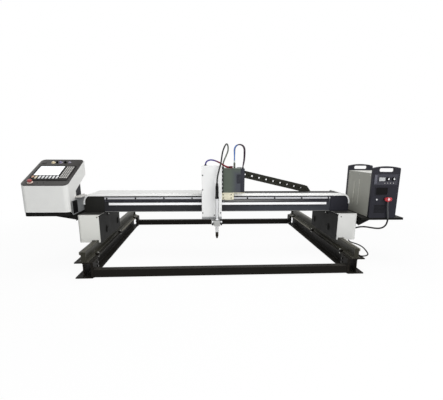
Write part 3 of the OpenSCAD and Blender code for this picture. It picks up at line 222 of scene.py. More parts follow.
def turned(bm, profile, base, axis, steps, loop=False, spot=None):
    lean = Vector(UP).rotation_difference(Vector(axis)).to_matrix()
    rings = []
    for radius, height in profile:
        ring = []
        for k in range(steps if radius > 0.0 else 1):
            angle = 2.0 * math.pi * k / steps
            point = Vector((radius * math.cos(angle), radius * math.sin(angle), height))
            point = lean @ point + Vector(base)
            ring.append(bm.verts.new(spot @ point if spot else point))
        rings.append(ring)
    pairs = list(zip(rings, rings[1:]))
    if loop:
        pairs.append((rings[-1], rings[0]))
    for lower, upper in pairs:
        for k in range(steps):
            quad = [lower[k % len(lower)], lower[(k + 1) % len(lower)]]
            quad += [upper[(k + 1) % len(upper)], upper[k % len(upper)]]
            bm.faces.new(list(dict.fromkeys(quad)))
    if not loop:
        for ring in (rings[0], rings[-1]):
            if len(ring) > 1:
                bm.faces.new(ring)


def round_outline(low, high, radius, steps=5):
    points = []
    corners = ((high[0], high[1]), (low[0], high[1]), (low[0], low[1]), (high[0], low[1]))
    for quarter, (x, y) in enumerate(corners):
        cx = x - math.copysign(radius, x - (low[0] + high[0]) / 2.0)
        cy = y - math.copysign(radius, y - (low[1] + high[1]) / 2.0)
        for k in range(steps + 1):
            angle = math.radians(90.0 * quarter + 90.0 * k / steps)
            points.append((cx + radius * math.cos(angle), cy + radius * math.sin(angle)))
    return points


def slab(bm, outline, low, high, spot, opening=None):
    def edge_loop(points, height):
        return [bm.verts.new(spot @ Vector((u, v, height))) for u, v in points]

    outer = [edge_loop(outline, low), edge_loop(outline, high)]
    count = len(outline)
    inner = [edge_loop(opening, low), edge_loop(opening, high)] if opening else None
    for k in range(count):
        n = (k + 1) % count
        bm.faces.new((outer[0][k], outer[0][n], outer[1][n], outer[1][k]))
        if inner:
            bm.faces.new((inner[0][n], inner[0][k], inner[1][k], inner[1][n]))
            for level_index in (0, 1):
                o, i = outer[level_index], inner[level_index]
                bm.faces.new((o[k], o[n], i[n], i[k]))
    if not inner:
        bm.faces.new(outer[0])
        bm.faces.new(outer[1])


def flow(route, spans=6):
    points = [Vector(p) for p in route]
    ends = [2.0 * points[0] - points[1]] + points + [2.0 * points[-1] - points[-2]]
    path = []
    for a, b, c, d in zip(ends, ends[1:], ends[2:], ends[3:]):
        for k in range(spans):
            t = k / spans
            path.append(0.5 * (2.0 * b + (c - a) * t + (2.0 * a - 5.0 * b + 4.0 * c - d) * t * t
                               + (3.0 * b - a - 3.0 * c + d) * t ** 3))
    path.append(points[-1])
    return path


def sweep(bm, path, radius, steps=14, loop=False):
    rings = []
    normal = None
    for k, point in enumerate(path):
        ahead = path[(k + 1) % len(path)] if loop else path[min(k + 1, len(path) - 1)]
        behind = path[k - 1] if loop else path[max(k - 1, 0)]
        run = (ahead - behind).normalized()
        if normal is None:
            normal = run.orthogonal().normalized()
        normal = (normal - run * normal.dot(run)).normalized()
        side = run.cross(normal)
        wide = radius(k / (len(path) - 1)) if callable(radius) else radius
        ring = []
        for j in range(steps):
            angle = 2.0 * math.pi * j / steps
            ring.append(bm.verts.new(point + wide * (normal * math.cos(angle) + side * math.sin(angle))))
        rings.append(ring)
    pairs = list(zip(rings, rings[1:]))
    if loop:
        pairs.append((rings[-1], rings[0]))
    for lower, upper in pairs:
        for j in range(steps):
            n = (j + 1) % steps
            bm.faces.new((lower[j], lower[n], upper[n], upper[j]))
    if not loop:
        bm.faces.new(rings[0])
        bm.faces.new(rings[-1])


def keep(name, bm, paint, body=None, crease=38.0):
    bmesh.ops.scale(bm, vec=(0.001, 0.001, 0.001), verts=bm.verts)
    bmesh.ops.recalc_face_normals(bm, faces=bm.faces)
    mesh = bpy.data.meshes.new(name)
    bm.to_mesh(mesh)
    bm.free()
    for face in mesh.polygons:
        face.use_smooth = True
    mesh.set_sharp_from_angle(angle=math.radians(crease))
    mesh.materials.append(finish[paint])
    piece = bpy.data.objects.new(name, mesh)
    scene.collection.objects.link(piece)
    if body:
        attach(piece, body)
    return piece


def turned_set(name, profile, places, steps, spot, paint, body="gantry", loop=False):
    bm = bmesh.new()
    for place in places:
        turned(bm, profile, place, UP, steps, loop, spot)
    keep(name, bm, paint, body)


def screw(radius, tall):
    return [(0.0, 0.0), (radius, 0.0), (radius, tall * 0.6), (radius * 0.75, tall), (radius * 0.42, tall),
            (radius * 0.38, tall * 0.45), (0.0, tall * 0.4)]


print("bench ready")

# %% [markdown]
# ## Effects that several finishes share
# Powder coat has a fine orange peel, sheet edges rub bright, flat tops gather dust and drawn metal carries
# fine lines; on the red plug the same edge layer carries a painted highlight instead of wear. Each of these
# is one node group with named sockets, built once. All of them read object coordinates in metres, so the
# grain keeps its real size on every piece.

# %% Group helper
FLOAT = "NodeSocketFloat"
VECTOR = "NodeSocketVector"


def new_group(name, inputs, outputs):
    group = bpy.data.node_groups.new(name, "ShaderNodeTree")
    for label, kind, value in inputs:
        socket = group.interface.new_socket(label, in_out="INPUT", socket_type=kind)
        socket.default_value = value
    for label, kind in outputs:
        group.interface.new_socket(label, in_out="OUTPUT", socket_type=kind)
    given = group.nodes.new("NodeGroupInput").outputs
    place = group.nodes.new("ShaderNodeTexCoord").outputs["Object"]
    return group, given, place


def calc_vector(tree, operation, first, second):
    return wire(tree, "ShaderNodeVectorMath", {0: first, 1: second}, operation=operation).outputs[0]


print("group helper ready")

# %% Coat grain
grain_group, given, place = new_group(
    "Coat Grain", [("Scale", FLOAT, 500.0)], [("Tone", FLOAT), ("Height", FLOAT)])
fine = wire(grain_group, "ShaderNodeTexNoise", {"Vector": place, "Scale": given["Scale"], "Detail": 2.0})
broad_scale = calc(grain_group, "MULTIPLY", given["Scale"], 0.018)
broad = wire(grain_group, "ShaderNodeTexNoise",
             {"Vector": place, "Scale": broad_scale, "Detail": 5.0, "Roughness": 0.62})
wire(grain_group, "NodeGroupOutput", {"Tone": broad.outputs["Fac"], "Height": fine.outputs["Fac"]})
print(grain_group.name)

# %% Worn edges and painted edge highlight
edge_wear_and_highlight_group, given, place = new_group(
    "Edge Wear And Highlight", [("Radius", FLOAT, 0.002), ("Amount", FLOAT, 0.4)], [("Mask", FLOAT), ("Normal", VECTOR)])
bevel = wire(edge_wear_and_highlight_group, "ShaderNodeBevel", {"Radius": given["Radius"]}, samples=4)
facet = edge_wear_and_highlight_group.nodes.new("ShaderNodeNewGeometry").outputs["Normal"]
agree = wire(edge_wear_and_highlight_group, "ShaderNodeVectorMath", {0: bevel.outputs[0], 1: facet}, operation="DOT_PRODUCT")
turn = calc(edge_wear_and_highlight_group, "SUBTRACT", 1.0, agree.outputs["Value"])
noise = wire(edge_wear_and_highlight_group, "ShaderNodeTexNoise", {"Vector": place, "Scale": 46.0, "Detail": 6.0})
broken = wire(edge_wear_and_highlight_group, "ShaderNodeMapRange",
              {"Value": noise.outputs["Fac"], "From Min": 0.42, "From Max": 0.64})
rub_and_highlight = calc(edge_wear_and_highlight_group, "MULTIPLY", turn, broken.outputs["Result"])
gain = calc(edge_wear_and_highlight_group, "MULTIPLY", rub_and_highlight, given["Amount"])
mask = calc(edge_wear_and_highlight_group, "MULTIPLY", gain, 9.0, clamp=True)
wire(edge_wear_and_highlight_group, "NodeGroupOutput", {"Mask": mask, "Normal": bevel.outputs[0]})
print(edge_wear_and_highlight_group.name)

# %% Settled dust
dust_group, given, place = new_group("Settled Dust", [("Amount", FLOAT, 0.2)], [("Mask", FLOAT)])
facet = dust_group.nodes.new("ShaderNodeNewGeometry").outputs["Normal"]
tilt = wire(dust_group, "ShaderNodeSeparateXYZ", {"Vector": facet}).outputs["Z"]
flat = wire(dust_group, "ShaderNodeMapRange", {"Value": tilt, "From Min": 0.55, "From Max": 0.95})
noise = wire(dust_group, "ShaderNodeTexNoise", {"Vector": place, "Scale": 9.0, "Detail": 8.0})
patch = calc(dust_group, "MULTIPLY", flat.outputs["Result"], noise.outputs["Fac"])
mask = calc(dust_group, "MULTIPLY", patch, given["Amount"], clamp=True)
wire(dust_group, "NodeGroupOutput", {"Mask": mask})
print(dust_group.name)

# %% Drawn lines
drawn_group, given, place = new_group(
    "Drawn Lines", [("Stretch", VECTOR, (1.0, 30.0, 30.0)), ("Scale", FLOAT, 40.0)],
    [("Tone", FLOAT), ("Height", FLOAT)])
pull = calc_vector(drawn_group, "MULTIPLY", place, given["Stretch"])
fine = wire(drawn_group, "ShaderNodeTexNoise", {"Vector": pull, "Scale": given["Scale"], "Detail": 4.0})
broad = wire(drawn_group, "ShaderNodeTexNoise", {"Vector": place, "Scale": 7.0, "Detail": 5.0})
part = calc(drawn_group, "MULTIPLY", broad.outputs["Fac"], 0.4)
tone = wire(drawn_group, "ShaderNodeMath", {0: fine.outputs["Fac"], 1: 0.6, 2: part},
            operation="MULTIPLY_ADD")
wire(drawn_group, "NodeGroupOutput", {"Tone": tone.outputs[0], "Height": fine.outputs["Fac"]})
print(drawn_group.name)

# %% [markdown]
# One solid may carry two finishes, such as a lifter cover with a grey foot. The mask below is one inside
# a box given in metres and fades over a set softness, so a finish can change without cutting the mesh.

# %% Zone mask
FAR = 9.0
ALL = (-FAR, FAR)


def zone(colour, softness, x=ALL, y=ALL, z=ALL):
    low, high = zip(x, y, z)
    return colour, {"Low": low, "High": high, "Softness": softness}


zone_group, given, place = new_group(
    "Zone Mask", [("Low", VECTOR, (-FAR, -FAR, -FAR)), ("High", VECTOR, (FAR, FAR, FAR)),
                  ("Softness", FLOAT, 0.001)], [("Mask", FLOAT)])
past_low = calc_vector(zone_group, "SUBTRACT", place, given["Low"])
under_high = calc_vector(zone_group, "SUBTRACT", given["High"], place)
nearest = calc_vector(zone_group, "MINIMUM", past_low, under_high)
room = wire(zone_group, "ShaderNodeSeparateXYZ", {"Vector": nearest}).outputs
across = calc(zone_group, "MINIMUM", room["X"], room["Y"])
inside = calc(zone_group, "MINIMUM", across, room["Z"])
mask = calc(zone_group, "DIVIDE", inside, given["Softness"], clamp=True)
wire(zone_group, "NodeGroupOutput", {"Mask": mask})
print(zone_group.name)

# %% [markdown]
# ## Finishes
# The machine shows four families: powder coat and moulded plastic, bare metal, rubber, and the screen.
# Paint is built by layers as in a spray booth: a colour that drifts a little, then zones, several of which
# are painted highlights and painted shade, then dust, then edges rubbed bare. Metal is built the same way,
# but drawn lines set its tone and its roughness.
# Every finish goes on one shelf under its name, so a piece asks for it by that name.

# %% Colour and layers
finish = {}


def tint(red, green, blue):
    def straight(value):
        value = value / 255.0
        return value / 12.92 if value <= 0.04045 else ((value + 0.055) / 1.055) ** 2.4
    return (straight(red), straight(green), straight(blue), 1.0)


def shade(colour, factor):
    return (min(colour[0] * factor, 1.0), min(colour[1] * factor, 1.0), min(colour[2] * factor, 1.0), 1.0)


def use(tree, group, sockets):
    return wire(tree, "ShaderNodeGroup", sockets, node_tree=group)


def layer(tree, mask, under, over):
    return wire(tree, "ShaderNodeMix", {0: mask, 6: under, 7: over}, data_type="RGBA").outputs[2]


def layered(name, colour, drift, zones, pattern, worn_and_lit, dust, rough, relief):
    material = bpy.data.materials.new(name)
    material.use_nodes = True
    tree = material.node_tree
    group, sockets = pattern
    lines = use(tree, group, sockets).outputs
    edge, wear_and_highlight, bare_and_highlight = worn_and_lit
    rubbed_and_lit = use(tree, edge_wear_and_highlight_group, {"Radius": edge, "Amount": wear_and_highlight}).outputs
    amount, dust_colour = dust
    settled = use(tree, dust_group, {"Amount": amount}).outputs
    face = layer(tree, lines["Tone"], shade(colour, 1.0 - drift), shade(colour, 1.0 + drift))
    for other, limits in zones:
        spot = use(tree, zone_group, limits)
        face = layer(tree, spot.outputs["Mask"], face, other)
    face = layer(tree, settled["Mask"], face, dust_colour)
    face = layer(tree, rubbed_and_lit["Mask"], face, bare_and_highlight)
    low, high = rough
    sheen = wire(tree, "ShaderNodeMapRange",
                 {"Value": lines["Tone"], "To Min": max(low, 0.05), "To Max": min(high, 1.0)})
    depth, step = relief
    bump = wire(tree, "ShaderNodeBump", {"Strength": depth, "Distance": step, "Height": lines["Height"],
                                         "Normal": rubbed_and_lit["Normal"]})
    shader = tree.nodes["Principled BSDF"]
    tree.links.new(face, shader.inputs["Base Color"])
    tree.links.new(sheen.outputs["Result"], shader.inputs["Roughness"])
    tree.links.new(bump.outputs["Normal"], shader.inputs["Normal"])
    finish[name] = material
    return shader


print("layers ready")

# %% Paint and metal
PALE_DUST = tint(176, 172, 164)
DARK_DUST = tint(120, 116, 108)


def coat(name, colour, rough, shine, grain, depth, drift, wear_and_highlight, bare_and_highlight, dust, edge=0.0016, zones=()):
    pattern = (grain_group, {"Scale": grain})
    shader = layered(name, colour, drift, zones, pattern, (edge, wear_and_highlight, bare_and_highlight), (dust, PALE_DUST),
                     (rough - 0.09, rough + 0.09), (depth, 0.0006))
    shader.inputs["Specular IOR Level"].default_value = shine


def metal(name, colour, rough, stretch, scale, drift=0.16, zones=()):
    pattern = (drawn_group, {"Stretch": stretch, "Scale": scale})
    shader = layered(name, colour, drift, zones, pattern, (0.001, 0.3, shade(colour, 1.5)),
                     (0.08, DARK_DUST), (rough - 0.12, rough + 0.16), (0.10, 0.0003))
    shader.inputs["Metallic"].default_value = 1.0


print("paint and metal ready")

# %% Finishes of the machine
# coat: colour, roughness, shine, grain, peel, drift of tone, wear, worn colour (a painted highlight on
# plug_red), dust, worn edge
# metal: colour, roughness, stretch of the lines, their scale, drift of tone
RUST = tint(70, 56, 42)
STEEL = tint(150, 148, 142)
CHARCOAL = tint(19, 19, 18)
# The pale strip on the far half of the top flange is a painted highlight where light from above falls.
coat("rail_black", tint(20, 18, 15), 0.55, 0.08, 240, 0.25, 0.3, 0.4, RUST, 0.06, 0.002,
     zones=[zone(tint(112, 109, 100), 0.0006, y=(0.02, FAR), z=(0.1485, 0.1515))])
# The lighter top face of the rail head is painted light falling from above.
coat("rail_head", tint(40, 39, 30), 0.45, 0.2, 300, 0.2, 0.25, 0.6, STEEL, 0.04, 0.003,
     zones=[zone(tint(56, 54, 45), 0.0006, z=(0.2435, 0.30))])
metal("bolt_zinc", tint(186, 186, 182), 0.30, (30, 30, 30), 20,
      zones=[zone(tint(34, 31, 27), 0.002, y=(-FAR, -0.95), z=(-FAR, 0.149)),
             zone(tint(34, 31, 27), 0.002, y=(0.95, FAR), z=(-FAR, 0.149))])
# The pale band outside the right rail is a painted reflection on the rack.
metal("gear_steel", tint(84, 82, 76), 0.44, (30, 1, 30), 30,
      zones=[zone(tint(170, 168, 160), 0.003, x=(1.250, FAR), z=(0.20, 0.26))])
# The light patch just right of the middle, fading out to the right, is painted light from the key lamp
# side; left of the middle the rack keeps its dark colour.
metal("rack_grey", tint(72, 72, 78), 0.46, (1, 30, 30), 30,
      zones=[zone(tint(150, 150, 150), 0.8, x=(-FAR, 1)),
             zone(tint(72, 72, 78), 0.02, x=(-FAR, 0))])
coat("charcoal", CHARCOAL, 0.56, 0.07, 560, 0.14, 0.18, 0.15, tint(74, 74, 74), 0.03)
# The lighter, bluer right end frame is painted light from the key lamp on the right.
coat("end_black", tint(36, 36, 34), 0.5, 0.12, 560, 0.14, 0.16, 0.2, tint(84, 84, 88), 0.03,
     zones=[zone(tint(44, 44, 51), 0.01, x=(0, FAR))])
# The beam grows lighter to the right as painted light from the key lamp, and the thin pale line along its
# front bottom edge is a painted highlight.
coat("beam_grey", tint(42, 42, 45), 0.46, 0.15, 560, 0.12, 0.14, 0.3, tint(104, 104, 104), 0.05,
     zones=[zone(tint(58, 60, 66), 0.5, x=(0, FAR)),
            zone(tint(140, 140, 138), 0.0008, y=(-FAR, -0.44), z=(0.40, 0.4845))])
# The darker top face of the cover is painted shade, and the brighter front lip below it is the lit side.
coat("cover_white", tint(250, 250, 248), 0.36, 0.32, 620, 0.10, 0.02, 0.12, tint(206, 204, 198), 0.06,
     zones=[zone(tint(214, 214, 211), 0.0008, z=(0.6712, FAR))])
# The left cover is painted lighter than the right one as painted light, and its outer flank is painted
# shade on the side turned away from the key lamp.
coat("drive_cover", tint(209, 209, 206), 0.38, 0.30, 620, 0.10, 0.03, 0.12, tint(188, 186, 180), 0.05,
     zones=[zone(tint(224, 224, 218), 0.01, x=(-FAR, 0)),
            zone(tint(150, 150, 146), 0.022, x=(-FAR, -1.368), y=(-FAR, -0.712)),
            zone(CHARCOAL, 0.0006, y=(-0.690, FAR), z=(0.4905, FAR))])
coat("lifter_white", tint(233, 233, 232), 0.34, 0.35, 640, 0.08, 0.02, 0.1, tint(206, 206, 204), 0.04,
     zones=[zone(tint(140, 141, 142), 0.012, z=(0.30, 0.4620))])
# The grey strip on the front-left rounded corner is painted shade on the corner that faces away from the
# lamps.
coat("console_white", tint(224, 224, 221), 0.36, 0.32, 620, 0.10, 0.03, 0.1, tint(190, 188, 182), 0.06,
     zones=[zone(tint(104, 104, 106), 0.012, x=(-FAR, -1.834), y=(-FAR, -0.752))])
coat("motor_black", tint(18, 18, 19), 0.5, 0.10, 420, 0.18, 0.2, 0.2, tint(80, 80, 80), 0.04)
metal("wheel_steel", tint(128, 126, 120), 0.36, (1, 20, 20), 24)
metal("guide_steel", tint(182, 183, 186), 0.34, (1, 60, 60), 30, 0.08,
      zones=[zone(tint(60, 60, 63), 0.0006, z=(0.540, 0.582)),
             zone(tint(240, 240, 242), 0.0006, z=(0.552, 0.582))])
coat("screw_black", tint(12, 12, 13), 0.5, 0.10, 420, 0.1, 0.15, 0.1, tint(50, 50, 50), 0.02, 0.0006)
coat("chain_olive", tint(38, 38, 31), 0.52, 0.14, 420, 0.16, 0.16, 0.2, tint(84, 84, 76), 0.05, 0.0012)
# The pale band along the panel's left border is a painted highlight on its edge.
coat("panel_charcoal", tint(60, 59, 58), 0.5, 0.14, 680, 0.14, 0.1, 0.3, tint(140, 140, 138), 0.04,
     zones=[zone(tint(24, 20, 19), 0.20, x=(-1.66, FAR), y=(-0.76, FAR)),
            zone(tint(98, 97, 95), 0.03, x=(-FAR, -1.815))])
coat("back_grey", tint(34, 34, 38), 0.55, 0.10, 560, 0.14, 0.12, 0.2, tint(90, 90, 92), 0.04,
     zones=[zone(tint(128, 130, 131), 0.0006, x=(-1.4125, FAR))])
coat("unit_black", tint(20, 19, 19), 0.56, 0.08, 760, 0.18, 0.1, 0.12, tint(70, 70, 72), 0.02)
coat("key_lock", tint(78, 77, 76), 0.5, 0.14, 680, 0.1, 0.08, 0.2, tint(130, 130, 128), 0.03)
coat("key_white", tint(228, 229, 230), 0.4, 0.3, 760, 0.1, 0.03, 0.1, tint(190, 190, 190), 0.03, 0.0008)
coat("key_cream", tint(224, 212, 186), 0.4, 0.3, 760, 0.1, 0.04, 0.1, tint(190, 180, 150), 0.03, 0.0008)
coat("key_amber", tint(202, 160, 134), 0.4, 0.3, 760, 0.1, 0.06, 0.1, tint(200, 160, 130), 0.03, 0.0008)
coat("key_grey", tint(186, 184, 180), 0.45, 0.25, 760, 0.1, 0.08, 0.1, tint(200, 200, 200), 0.03, 0.0008)
coat("stop_red", tint(138, 15, 17), 0.14, 0.6, 640, 0.04, 0.08, 0.1, tint(150, 40, 36), 0.01)
# On the red plug the worn-edge colour is pale pink: a painted highlight, not wear.
coat("plug_red", tint(168, 24, 38), 0.28, 0.5, 640, 0.06, 0.08, 0.3, tint(236, 180, 184), 0.02, 0.003)
# This pale finish paints a highlight on the front of the red plug.
coat("plug_highlight_pale", tint(230, 196, 198), 0.28, 0.5, 640, 0.06, 0.05, 0.2, tint(240, 224, 224), 0.02)
coat("button_cream", tint(230, 216, 184), 0.34, 0.4, 640, 0.06, 0.05, 0.08, tint(190, 180, 150), 0.03)
coat("ring_rose", tint(226, 202, 190), 0.36, 0.35, 640, 0.06, 0.05, 0.08, tint(190, 170, 160), 0.03)
coat("button_violet", tint(104, 98, 142), 0.34, 0.4, 640, 0.06, 0.08, 0.08, tint(150, 146, 190), 0.03)
coat("button_lilac", tint(140, 135, 150), 0.38, 0.35, 640, 0.06, 0.06, 0.08, tint(180, 176, 190), 0.03)
coat("switch_black", tint(12, 12, 13), 0.5, 0.08, 640, 0.1, 0.14, 0.12, tint(54, 54, 56), 0.02, 0.0008)
coat("supply_shell", tint(33, 33, 40), 0.46, 0.15, 520, 0.2, 0.12, 0.14, tint(80, 82, 90), 0.03, 0.003,
     zones=[zone(tint(60, 60, 67), 0.002, x=(1.486, 1.727), y=(-FAR, -0.780), z=(0.790, 0.897))])
coat("supply_stripe", tint(112, 112, 122), 0.42, 0.22, 520, 0.1, 0.1, 0.1, tint(140, 140, 148), 0.02)
# The lighter top face of the case is a painted reflection of the light from above.
coat("supply_olive", tint(158, 158, 149), 0.44, 0.25, 520, 0.14, 0.07, 0.25, tint(190, 190, 182), 0.04,
     zones=[zone(tint(210, 210, 204), 0.0006, z=(0.9005, FAR))])
# The ribs are painted lighter than the case as a painted highlight on their raised edges.
coat("rib_olive", tint(188, 188, 178), 0.42, 0.3, 520, 0.12, 0.06, 0.5, tint(214, 214, 206), 0.04, 0.003)
metal("bracket_zinc", tint(198, 194, 174), 0.40, (6, 6, 6), 14, 0.36,
      zones=[zone(tint(110, 112, 112), 0.001, x=(-FAR, 0.0065), z=(0.30, 0.70))])
coat("housing_green", tint(84, 92, 83), 0.47, 0.18, 520, 0.14, 0.08, 0.25, tint(120, 126, 118), 0.05,
     zones=[zone(tint(70, 73, 80), 0.06, x=(0.105, FAR), z=(0.60, 0.9335)),
            zone(tint(46, 47, 55), 0.0008, x=(0.2052, FAR), z=(0.60, 0.9335)),
            zone(tint(92, 26, 36), 0.0006, x=(0.1, 0.130), y=(-0.516, -0.490), z=(0.9335, FAR))])
metal("alu", tint(196, 198, 200), 0.34, (20, 20, 1), 24, 0.1)
metal("slide_grey", tint(164, 165, 164), 0.42, (20, 20, 1), 24, 0.14)
metal("fitting_silver", tint(204, 206, 208), 0.24, (20, 20, 1), 20, 0.1)
metal("fitting_dark", tint(84, 87, 79), 0.34, (20, 20, 1), 20, 0.1)
coat("display_grey", tint(176, 178, 178), 0.2, 0.4, 700, 0.03, 0.06, 0, tint(176, 180, 180), 0.02)
print("finishes", len(finish))

# %% [markdown]
# The torch is one solid with a black grip above a silver tube, so its metal is masked by height. The
# screen glows a little, as a lit white page does, and stays under pure white.

# %% Torch and screen
metal("torch_body", tint(214, 215, 216), 0.30, (20, 20, 1), 30, 0.10,
      zones=[zone(tint(20, 20, 21), 0.0006, z=(0.6462, FAR))])
metal("torch_tip", tint(46, 42, 38), 0.36, (20, 20, 1), 30, 0.2)
screen = bpy.data.materials.new("screen_white")
screen.use_nodes = True
screen_tree = screen.node_tree
screen_shader = screen_tree.nodes["Principled BSDF"]
screen_shader.inputs["Roughness"].default_value = 0.18
screen_shader.inputs["Emission Strength"].default_value = 0.35
screen_dots = use(screen_tree, grain_group, {"Scale": 900.0})
screen_page = layer(screen_tree, screen_dots.outputs["Tone"], tint(236, 240, 244), tint(250, 251, 252))
screen_tree.links.new(screen_page, screen_shader.inputs["Base Color"])
screen_tree.links.new(screen_page, screen_shader.inputs["Emission Color"])
finish["screen_white"] = screen
print("torch and screen ready")

# %% [markdown]
# ## Hoses and cables
# Each hose is a fixed length of rubber that goes from one fitting to another. A curve object would do,
# but two of them cross a moving joint, so all are swept as meshes along one smooth route. Zones change
# their colours on the way: the dark torch hose is bleached on its way down, the blue hose turns plum and
# is pale at its lower end, and the lifter cable turns from violet to maroon.

# %% Rubber
def rubber(name, colour, rough, zones=()):
    coat(name, colour, rough, 0.2, 360, 0.16, 0.12, 0.05, shade(colour, 1.4), 0.05, 0.0008, zones)


rubber("hose_dark", tint(34, 35, 34), 0.46,
       [zone(tint(104, 110, 100), 0.05, y=(-0.540, FAR))])
PLUM = tint(44, 26, 42)
rubber("hose_blue", tint(78, 118, 186), 0.40,
       [zone(PLUM, 0.03, x=(0.158, FAR)),
        zone(tint(196, 205, 204), 0.008, x=(-FAR, 0.170), z=(-FAR, 1.016))])
rubber("hose_plum", PLUM, 0.42)
rubber("cable_violet", tint(74, 66, 132), 0.44,
       [zone(tint(112, 30, 40), 0.06, x=(-0.075, FAR))])
rubber("cable_black", tint(20, 20, 20), 0.5)
rubber("lead_grey", tint(20, 20, 20), 0.46,
       [zone(tint(72, 73, 75), 0.04, z=(0.440, FAR))])
rubber("boot_maroon", tint(132, 26, 42), 0.4)
print("rubber ready")

# %% Routes
routes = {
    "torch_hose": (15.0, [
        (-40, -690, 769), (-40, -690, 800), (-38, -688, 840), (-31, -684, 880), (-21, -678, 920),
        (-9, -669, 960), (1, -659, 1000), (8, -647, 1045), (17, -633, 1094), (30, -618, 1130),
        (44, -594, 1157), (58, -559, 1171), (71, -522, 1167), (80, -491, 1147), (82, -472, 1115),
        (76, -468, 1090), (62, -466, 1055), (46, -464, 1019), (35, -462, 986), (31, -462, 959),
        (32, -462, 945), (32, -462, 933)]),
    "blue_hose": (12.0, [
        (149, -482, 990), (149, -482, 1010), (148, -482, 1040), (146, -482, 1080), (145, -482, 1118),
        (152, -482, 1143), (170, -482, 1161), (195, -482, 1168), (220, -482, 1161), (238, -482, 1143),
        (245, -482, 1118), (246, -482, 1085), (246, -482, 1048), (244, -482, 1012), (240, -482, 980),
        (237, -482, 957), (236, -482, 944), (236, -482, 931)]),
    "plum_hose": (12.0, [
        (149, -462, 990), (149, -462, 1010), (150, -462, 1040), (151, -462, 1080), (152, -462, 1118),
        (159, -462, 1144), (178, -462, 1163), (204, -462, 1170), (230, -462, 1163), (249, -462, 1144),
        (256, -462, 1118), (257, -462, 1085), (256, -462, 1048), (253, -462, 1012), (247, -462, 980),
        (241, -462, 957), (239, -462, 944), (239, -462, 931)]),
    "lifter_cable": (15.0, [
        (-150, -600, 963), (-150, -600, 972), (-145, -600, 993), (-130, -599, 1009), (-107, -597, 1017),
        (-82, -592, 1017), (-57, -585, 1011), (-31, -576, 1001), (-6, -564, 989), (18, -550, 975),
        (41, -535, 961), (62, -520, 950), (79, -508, 945), (91, -503, 944), (102, -503, 944)]),
    "torch_lead": (16.0, [
        (1642, -812, 627), (1642, -812, 615), (1644, -812, 580), (1650, -812, 537), (1657, -812, 495),
        (1661, -812, 455), (1660, -811, 425), (1651, -809, 394), (1629, -804, 369), (1600, -797, 357),
        (1565, -783, 354), (1530, -760, 355), (1504, -731, 355), (1482, -702, 352), (1461, -676, 346),
        (1439, -656, 337), (1419, -645, 329), (1410, -642, 325), (1400, -642, 325)]),
    "rail_cable": (12.0, [
        (1340, -660, 254), (1340, -660, 246), (1340, -666, 222), (1341, -684, 205), (1342, -708, 198),
        (1346, -750, 200), (1352, -800, 204), (1359, -850, 207), (1365, -900, 207), (1370, -950, 202),
        (1372, -1000, 190), (1371, -1040, 177), (1365, -1064, 170), (1347, -1082, 165), (1323, -1088, 161),
        (1299, -1082, 158), (1281, -1064, 158), (1275, -1042, 158), (1275, -1030, 158),
        (1275, -1020, 158)]),
}


def lay_hose(name, rubber_name, node, body=None, bridge=None):
    diameter, route = routes[name]
    path = flow(route)
    bm = bmesh.new()
    sweep(bm, path, diameter / 2.0)
    hose = keep(name + "_skin", bm, rubber_name, body)
    if bridge:
        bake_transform(hose)
    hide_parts(node)


lay_hose("torch_hose", "hose_dark", "torch_hose",
         bridge=("saddle", "torch_body", (0.0, -0.600, 0.0), (0.0, -0.688, 0.0)))
lay_hose("blue_hose", "hose_blue", "saddle_hoses", "saddle")
lay_hose("plum_hose", "hose_plum", "saddle_hoses", "saddle")
lay_hose("lifter_cable", "cable_violet", "saddle_hoses", "saddle")
lay_hose("torch_lead", "lead_grey", "torch_lead", "gantry")
lay_hose("rail_cable", "cable_black", "rail_cable",
         bridge=("base", "gantry", (0.0, -1.000, 0.0), (0.0, -0.760, 0.0)))

# %% [markdown]
# ## Dress the solids
# Most solids have the right shape already, so they only change their finish. A table of node and finish
# is easier to read than sixty separate lines.

# %% Finish of each solid
dress = {
    "rail_black": "left_rail_beam right_rail_beam front_cross_tube rear_cross_tube rail_clips",
    "rail_head": "left_rail right_rail",
    "bolt_zinc": "base_bolts",
    "gear_steel": "drive_racks left_pinion right_pinion saddle_pinion",
    "rack_grey": "beam_rack",
    "charcoal": "left_carriage right_carriage chain_trough console_bracket supply_bracket",
    "end_black": "left_end_frame right_end_frame",
    "wheel_steel": "left_front_wheel left_rear_wheel right_front_wheel right_rear_wheel",
    "motor_black": "drive_motors saddle_motor",
    "cover_white": "beam_top_cover",
    "drive_cover": "left_motor_cover right_motor_cover",
    "beam_grey": "cross_beam",
    "guide_steel": "beam_guides",
    "screw_black": "guide_screws",
    "console_white": "console_shell",
    "back_grey": "console_back",
    "panel_charcoal": "console_panel",
    "stop_red": "estop_button",
    "plug_red": "lead_connector",
    "button_cream": "start_button",
    "button_violet": "pause_button",
    "switch_black": "mode_selector speed_knob current_knob pressure_knob",
    "supply_olive": "supply_case",
    "supply_shell": "supply_front supply_rear",
    "bracket_zinc": "saddle_plate",
    "housing_green": "drive_housing",
    "alu": "lifter_frame lifter_screw",
    "slide_grey": "torch_slide",
    "lifter_white": "lifter_shell",
    "torch_body": "torch",
    "torch_tip": "torch_nozzle",
    "chain_olive": "cable_chain",
    "unit_black": "control_unit",
    "cable_black": "torch_hose saddle_hoses torch_lead rail_cable",
}
dressed = set()
for paint_name, nodes in dress.items():
    for node in nodes.split():
        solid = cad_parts[node]
        for place in solid.material_slots:
            place.material = finish[paint_name]
        if not solid.material_slots:
            solid.data.materials.append(finish[paint_name])
        dressed.add(node)
print("dressed", len(dressed), "left", sorted(set(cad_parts) - dressed))

# %% [markdown]
# ## Cable chain
# The chain leaves the torch carriage high, slopes down to the right, bends round and lies in the trough.
# Its links are oval side plates with a hole, joined by pins and crossbars. Instancing would save memory;
# the real run shears when the carriage travels, but here the links are one mesh that stays where it is
# drawn.

